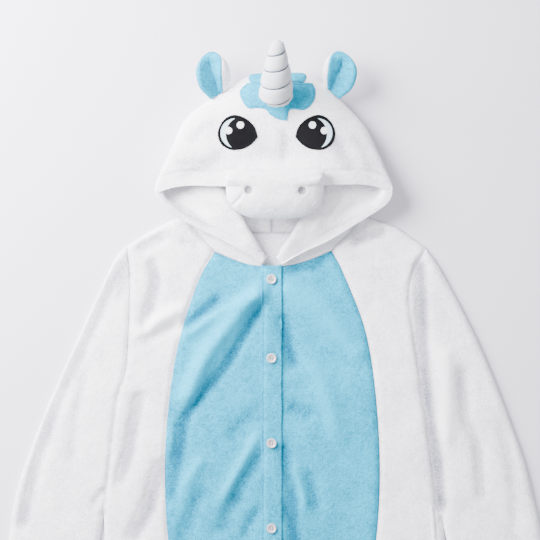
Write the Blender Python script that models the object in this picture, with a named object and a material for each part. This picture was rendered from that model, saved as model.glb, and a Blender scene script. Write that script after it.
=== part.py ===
"""A unicorn onesie laid flat on its back, front up.

All tables are in millimetres on the cutting plan: x runs outward from the centre front (or, where a
name says so, to the right), y runs up from the back neck seam, z up from the surface it lies on.
The garment is two layers of fleece: the lower layer rests flat, the upper one lies on it in folds and
turns down to it along every outer edge. The hood lies on its back with its front edge rolled out.
"""
import math

import bmesh
import bpy
import numpy as np
from mathutils import Vector
from mathutils.bvhtree import BVHTree

MM = 0.001
SIDES = {"left": -1.0, "right": 1.0}

# Cloth
WALL = 3.0                # fleece with its backing
GAP = 0.3                 # between neighbouring pieces
TURN = 14.0               # how far in from an outer edge the upper layer rounds over
SEAM_Z = WALL + GAP       # where the upper layer meets the lower one at an outer edge
REST_TOP = 12.0           # usual height of the upper layer
LOWEST_TOP = 7.0          # where it lies right on the lower layer

# Length
HORN_TOP = 342.0          # tip of the horn above the back neck
ANKLE = -1406.0           # ankle hem below it
MID_Y = (HORN_TOP + ANKLE) / 2

# Rows of faces down a half, shared by neighbouring pieces
ROWS = 31
ARMHOLE_ROWS = 12
FRONT_NECK_ROWS = 4
BELLY_ROWS = 18
CROTCH_ROWS = 2
BACK_NECK_ROWS = 5
BACK_SEAM_ROWS = 14
BELLY_LOW = -823.0
CROTCH = -850.0

# Front opening
PLACKET_HALF = 18.5
PLACKET_END = -733.0
BUTTON_RADIUS = 9.0
BUTTON_THICK = 3.0
BUTTON_HOLE = 1.2
BUTTON_Y = (-83.0, -225.0, -378.0, -531.0, -684.0)

# Face
FACE_X = 8.8              # the hood is turned a little to the right
PATCH = 1.5               # thickness of the eye patches
MANE = 1.7                # thickness of the mane's cloth

# Cutting lines, x outward from the centre front, for each side
SHOULDER = {
    "left": [(152, 34), (179, 23), (222, 1), (260, -23)],
    "right": [(156, 36), (183, 24), (222, 11), (249, -7), (278, -28)],
}
ARMHOLE = {
    "left": [(260, -23), (255, -77), (256, -157), (262, -248), (278, -301), (294, -436), (302, -507)],
    "right": [(278, -28), (253, -77), (248, -124), (255, -175), (280, -311), (294, -428), (307, -517)],
}
SLEEVE_OUTER = {
    "left": [(260, -23), (284, -52), (339, -169), (408, -324), (458, -461), (473, -553), (483, -625)],
    "right": [(278, -28), (310, -76), (379, -212), (447, -387), (472, -479), (483, -529), (496, -620)],
}
MID_X = (SLEEVE_OUTER["right"][-1][0] - SLEEVE_OUTER["left"][-1][0]) / 2
UNDERARM = {
    "left": [(302, -507), (309, -553), (330, -640)],
    "right": [(307, -517), (315, -553), (339, -640)],
}
SIDE_EDGE = {
    "left": [(302, -507), (301, -553), (306, -700), (300, -900), (275, -1150), (247, ANKLE)],
    "right": [(307, -517), (311, -553), (312, -700), (303, -900), (277, -1150), (249, ANKLE)],
}
INSEAM = {
    "left": [(0, CROTCH), (22, -960), (55, -1150), (97, ANKLE)],
    "right": [(0, CROTCH), (22, -960), (56, -1150), (99, ANKLE)],
}
NECK_FRONT = {
    "left": [(152, 34), (140, 8), (121, -16), (102, -34)],
    "right": [(156, 36), (147, 7), (132, -9), (108, -32)],
}
BELLY_TOP = {
    "left": [(102, -34), (73, -46), (45, -56), (PLACKET_HALF, -60)],
    "right": [(108, -32), (80, -44), (48, -55), (PLACKET_HALF, -60)],
}
BELLY_EDGE = {
    "left": [(102, -34), (132, -88), (169, -207), (189, -355), (190, -499), (172, -650), (140, -735),
             (85, -798), (PLACKET_HALF, BELLY_LOW)],
    "right": [(108, -32), (131, -76), (172, -188), (192, -343), (193, -499), (173, -650), (141, -735),
              (86, -798), (PLACKET_HALF, BELLY_LOW)],
}
NECK_BACK = {
    "left": [(152, 34), (128, 10), (95, 1), (60, -1), (0, -1)],
    "right": [(156, 36), (130, 10), (95, 1), (60, -1), (0, -1)],
}
HOOD_HEM = {
    "left": [(PLACKET_HALF, -57), (42, -38), (93, -11), (131, 7), (174, 32), (194, 49), (208, 69)],
    "right": [(PLACKET_HALF, -57), (60, -34), (104, -14), (153, 16), (199, 46), (213, 64), (217, 77)],
}
HOOD_OUTLINE = {
    "left": [(208, 69), (201, 97), (179, 153), (154, 205), (109, 241), (77, 261), (42, 281), (0, 285)],
    "right": [(217, 77), (208, 93), (194, 135), (168, 191), (123, 239), (91, 270), (60, 284), (0, 285)],
}
BRIM = {
    "left": [(201, 73), (190, 84), (143, 85), (100, 83), (0, 83)],
    "right": [(209, 80), (190, 87), (150, 87), (104, 85), (0, 83)],
}

# Soft folds of the upper layer: height above (or below) it, half width, path with x to the right
FOLDS = (
    # belly, left half
    {"height": 9, "width": 16, "path": [(-149, -292), (-120, -227), (-71, -160), (-24, -112)]},
    {"height": -5, "width": 9, "path": [(-152, -329), (-116, -281), (-78, -234), (-21, -135)]},
    {"height": 4, "width": 14, "path": [(-156, -182), (-28, -112)]},
    {"height": -4, "width": 8, "path": [(-148, -167), (-98, -121)]},
    {"height": -5, "width": 11, "path": [(-163, -350), (-166, -400), (-179, -472)]},
    {"height": -4, "width": 13, "path": [(-21, -403), (-46, -439), (-71, -491), (-87, -527)]},
    {"height": -4, "width": 13, "path": [(-130, -472), (-163, -553)]},
    # belly, right half
    {"height": 4, "width": 18, "path": [(31, -104), (93, -146), (156, -212)]},
    {"height": -4, "width": 10, "path": [(21, -160), (39, -234)]},
    {"height": -5, "width": 12, "path": [(22, -392), (40, -470), (42, -553)]},
    # side front and sleeve, left
    {"height": -4, "width": 11, "path": [(-208, -58), (-206, -97), (-233, -169)]},
    {"height": 4, "width": 14, "path": [(-235, -178), (-165, -140)]},
    {"height": -4, "width": 13, "path": [(-238, -311), (-255, -391), (-274, -441)]},
    {"height": -5, "width": 14, "path": [(-201, -425), (-219, -488), (-247, -542)]},
    {"height": -3, "width": 10, "path": [(-301, -104), (-372, -281), (-426, -401), (-445, -468)]},
    # side front and sleeve, right
    {"height": -5, "width": 10, "path": [(267, -77), (272, -160), (280, -292), (300, -400)]},
    {"height": 4, "width": 15, "path": [(316, -221), (316, -365)]},
    {"height": -4, "width": 12, "path": [(343, -252), (350, -330), (372, -389), (378, -468)]},
    {"height": -3, "width": 10, "path": [(159, -14), (199, 2)]},
    # legs
    {"height": -4, "width": 16, "path": [(-20, -880), (-90, -840), (-180, -790)]},
    {"height": -4, "width": 16, "path": [(25, -890), (110, -860), (190, -820)]},
    {"height": 4, "width": 18, "path": [(-210, -980), (-150, -1080), (-130, -1200)]},
    {"height": 4, "width": 18, "path": [(205, -960), (165, -1060), (150, -1170)]},
    {"height": -4, "width": 14, "path": [(-235, -1040), (-200, -1130), (-205, -1250)]},
    {"height": -4, "width": 14, "path": [(240, -1080), (190, -1180), (180, -1290)]},
)

# Sections of the lower hood from its front point (0) to the crown (LAST_RUNG). Each runs from the hem
# or outline over a valley, a rolled ridge and that ridge's foot to the neck or centre-back seam.
SIDE_RUNG, BACK_RUNG, CORNER_RUNG, LAST_RUNG = 10, 15, 13, 23
HOOD_RUNGS = (
    # rung, edge z, valley x, y, z, ridge x, y, z, foot x, y, z
    (0, 21, 14, -51, 21, 11, -46, 21, 9, -47, 16),
    (3, 25, 50, -24, 28, 36, -16, 33, 30, -16, 27),
    (6, 29, 88, 8, 31, 54, 10, 38, 47, 11, 31),
    (9, 33, 116, 28, 29, 66, 30, 39, 58, 31, 29),
    (10, 35, 128, 34, 26, 72, 36, 39, 60, 38, 22),
    (11, 37, 145, 45, 20, 77, 44, 39, 62, 46, 9),
    (13, 41, 180, 64, 14, 86, 64, 38, 66, 64, 2),
    (14, 36, 182, 80, 11, 92, 76, 37, 72, 76, 1),
    (16, 25, 168, 124, 4, 108, 104, 32, 86, 104, 0),
    (18, 20, 138, 176, 1, 108, 140, 12, 92, 136, 0),
    (20, 18, 92, 222, 0, 74, 196, 0, 60, 188, 0),
    (23, 18, 0, 272, 0, 0, 265, 0, 0, 255, 0),
)
CROWN_SEAM_TOP = 245.0    # where the last section ends on the centre-back seam
# Outer height of the brim's edge along it, from the corner to the centre
BRIM_RISE = ((13, 43.5), (14, 45), (16, 48), (18, 51), (20, 54), (23, 56))
DOME_POWER = 3.5

# Horn
HORN_BASE = (8.0, 239.0, 61.0)
HORN_BEND = (9.6, 291.0, 98.0)
HORN_TIP = (11.2, HORN_TOP, 122.0)
HORN_RADII = ((0.0, 26.0), (0.06, 31.0), (0.3, 28.5), (0.55, 23.0), (0.8, 16.0), (0.9, 13.0), (0.95, 10.0),
              (1.0, 0.0))
HORN_TURNS = 4.2
HORN_GROOVE = 0.10

# Snout
SNOUT_CENTRE = (5.8, 80.0)
SNOUT_HALF_WIDTH = 88.5
SNOUT_UP = 32.5
SNOUT_DOWN = 57.5
SNOUT_MIDDLE = 60.0       # height of its widest line, which rises toward the brim by SNOUT_TILT
SNOUT_TILT = 0.13
SNOUT_TOP = 30.0          # its stuffing above that line and below it
SNOUT_UNDER = 14.0
NOSTRILS = {"left": (-41.2, 75.6), "right": (54.9, 74.7)}
DIMPLE_DEPTH = 3.5
DIMPLE_SPREAD = 9.0
EYELET_RADIUS = 5.6
EYELET_THICK = 1.3

# Ear, x outward: the two edges of its back from the crown seam to the tip
EAR_OUTER_EDGE = {
    "left": [(108, 243), (129, 261), (136, 286), (127, 312), (112, 324)],
    "right": [(122, 242.3), (144, 261), (151, 289), (141, 314), (126, 325)],
}
EAR_INNER_EDGE = {
    "left": [(78, 262), (74, 282), (81, 304), (93, 319), (103, 324)],
    "right": [(97, 266.3), (93, 285), (98, 306), (108, 320), (117, 325)],
}
EAR_BASE_Z = 20.1
EAR_RISE = 24.0
# Height across it from the outer to the inner edge, as a share of EAR_CUP: a crease, then the inner rim,
# behind which the back rolls away
EAR_PROFILE = ((0, 0.9), (0.04, 1.0), (0.22, 0.62), (0.42, 0.15), (0.54, 0.04), (0.7, 0.42), (0.86, 1.0), (1, 0.8))
EAR_ALONG = (0, 0.06, 0.2, 0.36, 0.52, 0.68, 0.82, 0.94, 1)
EAR_CUP = 13.0

# Eye patch, x outward from the middle of the face
EYE = [(33, 171), (40, 191), (57, 206), (77, 211), (95, 202), (105, 181), (101, 161), (85, 149),
       (63, 149), (46, 157)]
# Forelock in front of the horn, from its tip round to its tip, and the strip of mane behind the horn
FORELOCK = [(28, 200), (12, 203), (-3, 211), (-10, 220), (-24, 223), (-42, 223), (-54, 238), (-57, 254),
            (-47, 266), (-38, 269), (12, 269), (66, 269), (76, 264), (79, 250), (75, 234), (60, 220), (39, 221),
            (31, 217), (28, 200)]
MANE_STRIP = [(-42, 279), (-44, 270), (64, 270), (62, 281), (40, 282.5), (-20, 282.5)]
POCKET = [(284, -492), (291, -497), (296, -553), (300, -640), (293, -640), (289, -553)]

COLOURS = {
    "white fleece": (0.86, 0.86, 0.88, 1.0),
    "blue fleece": (0.16, 0.56, 0.72, 1.0),
    "horn cloth": (0.72, 0.74, 0.77, 1.0),
    "black thread": (0.012, 0.012, 0.014, 1.0),
    "grey thread": (0.45, 0.45, 0.48, 1.0),
    "button plastic": (0.85, 0.87, 0.88, 1.0),
}


# Curves and stations ------------------------------------------------------------------------------

def dense_curve(points, steps=16):
    """A smooth curve through the points, as many short steps."""
    p = np.array(points, float)
    p = np.vstack([2 * p[0] - p[1], p, 2 * p[-1] - p[-2]])
    t = np.linspace(0, 1, steps, endpoint=False)[:, None]
    runs = []
    for a, b, c, d in zip(p[:-3], p[1:-2], p[2:-1], p[3:]):
        runs.append(0.5 * (2 * b + (c - a) * t + (2 * a - 5 * b + 4 * c - d) * t ** 2
                           + (3 * b - a - 3 * c + d) * t ** 3))
    return np.vstack(runs + [p[-2:-1]])


def at_fractions(points, fractions):
    """The points of a smooth curve at fractions of its length."""
    curve = dense_curve(points)
    run = np.concatenate([[0], np.cumsum(np.linalg.norm(np.diff(curve, axis=0), axis=1))])
    want = np.asarray(fractions) * run[-1]
    return np.stack([np.interp(want, run, curve[:, i]) for i in range(curve.shape[1])], axis=1)


def even(cells):
    return np.linspace(0, 1, cells + 1)


def edged(cells, length, start=True, end=True):
    """Fractions of a length in even cells, with two short cells by each end that rounds over."""
    short = [4.0 / length, TURN / length]
    first = [0.0] + (short if start else [])
    last = ([1 - s for s in reversed(short)] if end else []) + [1.0]
    inner = np.linspace(first[-1], last[0], cells + 1)[1:-1]
    return np.array(first + list(inner) + last)


def length_of(points):
    return float(np.linalg.norm(np.diff(dense_curve(points), axis=0), axis=1).sum())


def armhole_stations(side):
    line = ARMHOLE[side]
    return at_fractions(line, edged(8, length_of(line)))


def neck_front_stations(side):
    """From the side neck to the corner of the belly panel."""
    line = NECK_FRONT[side]
    return at_fractions(line, edged(2, length_of(line), end=False))


def belly_top_stations(side):
    return at_fractions(BELLY_TOP[side], even(6))


def belly_edge_stations(side):
    return at_fractions(BELLY_EDGE[side], even(BELLY_ROWS))


def neck_back_stations(side):
    return at_fractions(NECK_BACK[side], even(BACK_NECK_ROWS))


def joined(*runs):
    return np.vstack([runs[0]] + [run[1:] for run in runs[1:]])


# Height of the upper layer ------------------------------------------------------------------------

def outline_segments(side):
    """Outer edges of one half, each with the sign that turns its left normal outward."""
    parts = ((SHOULDER, 1), (SLEEVE_OUTER, 1), (SIDE_EDGE, 1), (UNDERARM, -1), (INSEAM, -1))
    starts, ends, normals = [], [], []
    for table, sign in parts:
        curve = dense_curve(table[side], 6)
        a, b = curve[:-1], curve[1:]
        d = b - a
        n = np.stack([-d[:, 1], d[:, 0]], axis=1) * sign
        starts.append(a)
        ends.append(b)
        normals.append(n / np.linalg.norm(n, axis=1)[:, None])
    return np.vstack(starts), np.vstack(ends), np.vstack(normals)


OUTLINES = {side: outline_segments(side) for side in SIDES}


def edge_at(x, y, side):
    """Distance inward from the nearest outer edge, and the direction out to it."""
    starts, ends, normals = OUTLINES[side]
    p = np.array([x * SIDES[side], y])
    d = ends - starts
    t = np.clip(((p - starts) * d).sum(axis=1) / (d * d).sum(axis=1), 0, 1)
    nearest = starts + d * t[:, None]
    away = np.linalg.norm(nearest - p, axis=1)
    i = int(away.argmin())
    out = (nearest[i] - p) / away[i] if away[i] > 0.5 else normals[i]
    return away[i], np.array([out[0] * SIDES[side], out[1]])


def fold_paths():
    return [(fold["height"], fold["width"], dense_curve(fold["path"], 6)) for fold in FOLDS]


FOLD_PATHS = fold_paths()


def loft(x, y):
    """Outer height of the upper layer away from its edges."""
    z = REST_TOP
    p = np.array([x, y])
    for height, width, path in FOLD_PATHS:
        a, b = path[:-1], path[1:]
        d = b - a
        t = np.clip(((p - a) * d).sum(axis=1) / (d * d).sum(axis=1), 0, 1)
        away = np.linalg.norm(a + d * t[:, None] - p, axis=1)
        z += height * math.exp(-(away.min() / width) ** 2)
    return max(z, LOWEST_TOP)


def upper(x, y, side):
    """Outer and inner point of the upper layer over a point of the plan."""
    away, out = edge_at(x, y, side)
    lean = 1 - min(away / TURN, 1)
    rise = math.sqrt(1 - lean ** 2)
    outer = np.array([x, y, SEAM_Z + (loft(x, y) - SEAM_Z) * rise])
    inner = outer - WALL * np.array([lean * out[0], lean * out[1], rise])
    return outer, inner


# Plans --------------------------------------------------------------------------------------------

def patch_plan(top, bottom, left, right):
    """Plan points between four boundary runs. top and bottom run from left to right."""
    top, bottom, left, right = (np.asarray(run, float) for run in (top, bottom, left, right))

    def spacing(run):
        steps = np.concatenate([[0], np.cumsum(np.linalg.norm(np.diff(run, axis=0), axis=1))])
        return steps / steps[-1]

    u = (spacing(top) + spacing(bottom))[None, :, None] / 2
    v = (spacing(left) + spacing(right))[:, None, None] / 2
    rows = (1 - v) * top[None] + v * bottom[None]
    columns = (1 - u) * left[:, None] + u * right[:, None]
    corners = ((1 - u) * (1 - v) * top[0] + u * (1 - v) * top[-1]
               + (1 - u) * v * bottom[0] + u * v * bottom[-1])
    return rows + columns - corners


def draw_in(plan, top=False, bottom=False, left=False, right=False):
    """Half a seam gap taken off the named edges."""
    out = plan.copy()
    half = GAP / 2
    edges = ((top, (0, slice(None)), (1, slice(None))), (bottom, (-1, slice(None)), (-2, slice(None))),
             (left, (slice(None), 0), (slice(None), 1)), (right, (slice(None), -1), (slice(None), -2)))
    for wanted, edge, inside in edges:
        if wanted:
            step = plan[inside] - plan[edge]
            out[edge] += half * step / np.linalg.norm(step, axis=1)[:, None]
    return out


def lay_upper(plan, side, seam=None):
    """Outer and inner points of an upper-layer panel from its plan. Its rim is upright at a seam."""
    both = np.array([[upper(x, y, side) for x, y in row] for row in plan])
    outer, inner = both[:, :, 0], both[:, :, 1]
    if seam:
        line = outer[seam]
        tangent = np.gradient(line[:, :2], axis=0)
        tangent /= np.linalg.norm(tangent, axis=1)[:, None]
        along = ((inner[seam] - line)[:, :2] * tangent).sum(axis=1)
        inner[seam + (slice(2),)] = line[:, :2] + along[:, None] * tangent
    return outer, inner


# Solids -------------------------------------------------------------------------------------------

def to_world(p):
    return Vector(((p[0] - MID_X) * MM, (p[1] - MID_Y) * MM, p[2] * MM))


def fresh_collection(name):
    collection = bpy.data.collections.new(name)
    bpy.context.scene.collection.children.link(collection)
    return collection


def finish_material(name):
    existing = bpy.data.materials.get(name)
    if existing:
        return existing
    material = bpy.data.materials.new(name)
    material.use_nodes = True
    shader = material.node_tree.nodes["Principled BSDF"]
    shader.inputs["Base Color"].default_value = COLOURS[name]
    shader.inputs["Roughness"].default_value = 0.35 if name == "button plastic" else 0.95
    shader.inputs["Metallic"].default_value = 0.0
    return material


def mesh_object(name, bm, material, collection):
    """The bmesh as an object, its bent faces split the same way on pieces that lie on each other."""
    bmesh.ops.triangulate(bm, faces=[f for f in bm.faces if len(f.verts) == 4])
    bmesh.ops.recalc_face_normals(bm, faces=bm.faces[:])
    mesh = bpy.data.meshes.new(name)
    bm.to_mesh(mesh)
    bm.free()
    mesh.shade_smooth()
    obj = bpy.data.objects.new(name, mesh)
    if material:
        mesh.materials.append(finish_material(material))
    collection.objects.link(obj)
    return obj


def sheet_mesh(points):
    """A grid of faces through rows of points, each vertex tagged with its place in them."""
    rows, columns = points.shape[:2]
    bm = bmesh.new()
    bmesh.ops.create_grid(bm, x_segments=columns - 1, y_segments=rows - 1, size=1.0)
    place = bm.verts.layers.int.new("place")
    for v in bm.verts:
        column = round((v.co.x + 1) / 2 * (columns - 1))
        row = round((v.co.y + 1) / 2 * (rows - 1))
        v[place] = row * columns + column
        v.co = to_world(points[row, column])
    return bm, place


def wall_mesh(outer, inner, ring=False):
    """A closed wall between two matching grids of points. A ring's last column meets its first."""
    bm, place = sheet_mesh(outer)
    if ring:
        bmesh.ops.remove_doubles(bm, verts=bm.verts[:], dist=1e-7)
    grown = bmesh.ops.extrude_face_region(bm, geom=bm.faces[:], use_keep_orig=True)
    flat = inner.reshape(-1, 3)
    for item in grown["geom"]:
        if isinstance(item, bmesh.types.BMVert):
            item.co = to_world(flat[item[place]])
    return bm


def wall(name, outer, inner, material, ring=False):
    return mesh_object(name, wall_mesh(outer, inner, ring), material, PARTS)


def grid_normals(points):
    """Unit normals of a grid of points. A corner drawn out straight takes its neighbour's."""
    n = np.cross(np.gradient(points, axis=1), np.gradient(points, axis=0))
    size = np.linalg.norm(n, axis=2)
    if size[-1, -1] < 1e-3:
        n[-1, -1], size[-1, -1] = n[-2, -1], size[-2, -1]
    return n / size[:, :, None]


def boolean(target, cutter, operation):
    """One EXACT Boolean, applied, with the cutter hidden from the build."""
    cutter.hide_render = True
    cutter.display_type = "WIRE"
    modifier = target.modifiers.new(operation.lower(), "BOOLEAN")
    modifier.operation = operation
    modifier.solver = "EXACT"
    modifier.object = cutter


def prism(name, outline, low, high):
    """A cutter: a closed plan outline, x to the right, raised from low to high."""
    bm = bmesh.new()
    verts = [bm.verts.new(to_world((x, y, low))) for x, y in outline]
    face = bm.faces.new(verts)
    grown = bmesh.ops.extrude_face_region(bm, geom=[face], use_keep_orig=True)
    top = [item for item in grown["geom"] if isinstance(item, bmesh.types.BMVert)]
    bmesh.ops.translate(bm, verts=top, vec=(0, 0, (high - low) * MM))
    return mesh_object(name, bm, None, CUTTERS)


def closed_curve(points, count):
    """A smooth closed outline with count points."""
    loop = list(points) + [points[0]]
    return [tuple(p) for p in at_fractions(loop, even(count))[:-1]]


# Body ---------------------------------------------------------------------------------------------

def body_edges(side):
    """Shared stations of one half: the outer run down from the shoulder point, and the shoulder."""
    side_line = SIDE_EDGE[side]
    outer = joined(armhole_stations(side), at_fractions(side_line, even(ROWS - ARMHOLE_ROWS)))
    shoulder = at_fractions(SHOULDER[side], edged(4, length_of(SHOULDER[side])))[::-1]
    ankle_ends = (SIDE_EDGE[side][-1], INSEAM[side][-1])
    width = ankle_ends[0][0] - ankle_ends[1][0]
    ankle = at_fractions(ankle_ends, edged(4, width))
    return outer, shoulder, ankle


def side_front(side):
    outer, shoulder, ankle = body_edges(side)
    seam_start = FRONT_NECK_ROWS + BELLY_ROWS + CROTCH_ROWS
    inner = joined(neck_front_stations(side), belly_edge_stations(side),
                   [(PLACKET_HALF, BELLY_LOW), (0, BELLY_LOW)], [(0, BELLY_LOW), (0, CROTCH)],
                   at_fractions(INSEAM[side], even(ROWS - seam_start)))
    plan = patch_plan(shoulder, ankle, outer, inner)
    plan = draw_in(plan, left=True, right=True)
    free = slice(seam_start, None)
    plan[free, -1] = inner[free]                      # the inseam is an outer edge, with no seam gap
    below = slice(len(armhole_stations(side)), None)
    plan[below, 0] = outer[below]
    plan[seam_start - 1:seam_start + 1, -1, 0] = GAP / 2      # the two side fronts meet at the centre
    plan[:, :, 0] *= SIDES[side]
    armhole = (slice(len(armhole_stations(side))), 0)
    wall(f"side_front_{side}", *lay_upper(plan, side, armhole), "white fleece")
    return plan


def back(side):
    outer, shoulder, ankle = body_edges(side)
    shoulder, ankle = shoulder[[0, 3, 5, -1]], ankle[[0, 3, 5, -1]]
    seam = at_fractions([(0, -1), (0, CROTCH)], even(BACK_SEAM_ROWS))
    seam_end = BACK_NECK_ROWS + BACK_SEAM_ROWS
    inner = joined(neck_back_stations(side), seam, at_fractions(INSEAM[side], even(ROWS - seam_end)))
    plan = draw_in(patch_plan(shoulder, ankle, outer, inner), left=True, right=True)
    below = slice(len(armhole_stations(side)), None)
    plan[below, 0] = outer[below]
    plan[seam_end + 1:, -1] = inner[seam_end + 1:]
    plan[BACK_NECK_ROWS:seam_end + 1, -1, 0] = GAP / 2
    plan[BACK_NECK_ROWS, -1, 1] -= GAP / 2
    plan[:, :, 0] *= SIDES[side]
    level = np.zeros(plan.shape[:2] + (1,))
    wall(f"back_{side}", np.concatenate([plan, level + WALL], axis=2),
         np.concatenate([plan, level], axis=2), "white fleece")


def belly_plan(side):
    """Plan of a belly half, from its outer edge to the edge of the button band."""
    edge = belly_edge_stations(side)
    top = belly_top_stations(side)
    band = at_fractions([(PLACKET_HALF, -60), (PLACKET_HALF, BELLY_LOW + 8)], even(BELLY_ROWS))
    bottom = at_fractions([edge[-1], (PLACKET_HALF - 6, BELLY_LOW)], even(6))
    band[-1] = bottom[-1]
    return patch_plan(top, bottom, edge, band)


def belly(side):
    plan = draw_in(belly_plan(side), top=True, bottom=True, left=True)
    centre = plan[:, -1:].copy()
    centre[:, :, 0] = GAP / 2
    plan = np.concatenate([plan, centre], axis=1)
    plan[:, :, 0] *= SIDES[side]
    outer, inner = lay_upper(plan, side)
    wall(f"belly_{side}", outer, inner, "blue fleece")
    return outer


def placket(halves):
    """The button band lies on both belly halves and is made from their own points, moved up."""
    left, right = halves["left"], halves["right"]
    rows = [i for i in range(left.shape[0]) if left[i, -1, 1] > PLACKET_END]
    lift = np.array([0, 0, GAP + 0.2])
    low = np.stack([left[rows, -2], (left[rows, -1] + right[rows, -1]) / 2, right[rows, -2]], axis=1)
    low[:, 1, 2] = np.maximum(left[rows, -1, 2], right[rows, -1, 2])
    low[:, :, 1] = low[:, 1:2, 1]
    low = low + lift
    high = low + np.array([0, 0, WALL])
    return wall("placket", high, low, "blue fleece")


def sleeve(side):
    line = ARMHOLE[side]
    fractions = edged(8, length_of(line))
    outer_edge = at_fractions(SLEEVE_OUTER[side], even(9))
    underarm = at_fractions(UNDERARM[side], even(9))
    cuff_ends = (SLEEVE_OUTER[side][-1], UNDERARM[side][-1])
    cuff = at_fractions(cuff_ends, edged(8, length_of(cuff_ends)))
    plan = patch_plan(at_fractions(line, fractions), cuff, outer_edge, underarm)
    plan = draw_in(plan, top=True)
    plan[:, :, 0] *= SIDES[side]
    over_outer, over_inner = lay_upper(plan, side, (0, slice(None)))
    under = plan[:, ::-1]
    floor = np.zeros(under.shape[:2] + (1,))
    under_outer = np.concatenate([under, floor], axis=2)
    under_inner = np.concatenate([over_inner[:, ::-1, :2], floor + WALL], axis=2)
    outer = np.concatenate([over_outer, under_outer, over_outer[:, :1]], axis=1)
    inner = np.concatenate([over_inner, under_inner, over_inner[:, :1]], axis=1)
    wall(f"sleeve_{side}", outer, inner, "white fleece", ring=True)


# Hood ---------------------------------------------------------------------------------------------

def rung_values(columns):
    """Rows of HOOD_RUNGS worked out for every rung, as smooth runs of the named columns."""
    table = np.array(HOOD_RUNGS, float)
    rungs = np.arange(LAST_RUNG + 1)
    return np.stack([np.interp(rungs, table[:, 0], table[:, c]) for c in columns], axis=1)


def hood_edges(side):
    hem = at_fractions(HOOD_HEM[side], even(CORNER_RUNG))
    outline = at_fractions(HOOD_OUTLINE[side], even(LAST_RUNG - CORNER_RUNG))
    plan = joined(hem, outline)
    return np.concatenate([plan, rung_values([1])], axis=1)


def hood_ends(side):
    """Where each section ends, on the neck seam or the centre-back seam."""
    front = joined(belly_top_stations(side)[::-1], neck_front_stations(side)[::-1])
    neck = joined(front, neck_back_stations(side))
    seam = at_fractions([(0, -1), (0, CROWN_SEAM_TOP)], even(LAST_RUNG - BACK_RUNG))
    return joined(neck, seam)


def hood_section(edge, end, valley, ridge, foot, rung):
    """Control points of one section of the lower hood, on its outer side."""
    toward = valley[:2] - edge[:2]
    reach = np.linalg.norm(toward)
    toward = toward / max(reach, 1e-6)
    if rung <= CORNER_RUNG:
        inward, z = min(20.0, 0.4 * reach), edge[2] - 0.04 * reach
    else:
        inward, z = min(0.5 * edge[2], 0.6 * reach), 0.16 * edge[2] + 0.5 * valley[2]
    turn = np.array([*(edge[:2] + toward * inward), z])
    rest = (foot + end) / 2
    return [edge, turn, valley, ridge, foot, rest, end]


def hood_back_points(side):
    """Outer points of the lower hood of one half, rung by rung, and the direction to its inner side."""
    edges, ends = hood_edges(side), hood_ends(side)
    valleys, ridges, feet = (rung_values(c) for c in ((2, 3, 4), (5, 6, 7), (8, 9, 10)))
    rows = []
    for rung in range(LAST_RUNG + 1):
        x, y = ends[rung]
        if rung < SIDE_RUNG:
            z = upper(x * SIDES[side], y, side)[0][2]
        else:
            z = SEAM_Z if rung == SIDE_RUNG else 0.0
        control = hood_section(edges[rung], np.array([x, y, z]), valleys[rung], ridges[rung],
                               feet[rung], rung)
        rows.append(at_fractions(control, even(13)))
    outer = np.array(rows)
    outer[:, :, 2] = np.maximum(outer[:, :, 2], 0.0)
    inward = grid_normals(outer)
    if inward[-3, 8, 2] < 0:
        inward = -inward
    return outer, inward


def hood_back(side):
    outer, inward = hood_back_points(side)
    outline = slice(CORNER_RUNG, None)
    step = outer[outline, -1, :2] - outer[outline, 0, :2]
    inward[outline, 0, :2] = step / np.linalg.norm(step, axis=1)[:, None]
    inward[outline, 0, 2] = 0
    outer[outline, 0, 2] -= GAP / 2
    inward[:SIDE_RUNG, -1] = (0, 0, -1)
    inward[SIDE_RUNG + 1:, -1] = (0, 0, 1)
    inward[-1, :, 0] = 0
    seam_step = outer[:, -2, :2] - outer[:, -1, :2]
    seam_step /= np.linalg.norm(seam_step, axis=1)[:, None]
    inward[SIDE_RUNG, -1] = (*seam_step[SIDE_RUNG], 0)
    inward /= np.linalg.norm(inward, axis=2)[:, :, None]
    outer[:, -1, :2] += GAP / 2 * seam_step
    fold = slice(SIDE_RUNG - 1, SIDE_RUNG + 1)        # more room where the hood folds at the side neck
    outer[fold, -1, :2] += 4 * GAP * seam_step[fold]
    inner = outer + WALL * inward
    for points in (outer, inner):
        points[BACK_RUNG:, -1, 0] = GAP / 2
        points[-1, :, 0] = GAP / 2
        points[:, :, 0] *= SIDES[side]
    wall(f"hood_back_{side}", outer, inner, "white fleece")


def hood_front_points(side):
    """Outer points of the upper hood, from the turned outline to the brim, corner to crown."""
    edges = hood_edges(side)[CORNER_RUNG:]
    count = LAST_RUNG - CORNER_RUNG
    brim = at_fractions(BRIM[side], np.linspace(0, 1, count + 1) ** 1.15)
    rungs = np.arange(CORNER_RUNG, LAST_RUNG + 1)
    rise = np.array(BRIM_RISE)
    heights = np.interp(rungs, rise[:, 0], rise[:, 1])
    places = np.array([0, 0.02, 0.07, 0.15, 0.25, 0.37, 0.5, 0.64, 0.78, 0.9, 1.0])
    rows = []
    for edge, end, high in zip(edges, brim, heights):
        plan = edge[:2] + (end - edge[:2]) * places[:, None]
        curve = np.sqrt(1 - (1 - places) ** DOME_POWER)
        rows.append(np.column_stack([plan, edge[2] + (high - edge[2]) * curve]))
    return np.array(rows)


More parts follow.
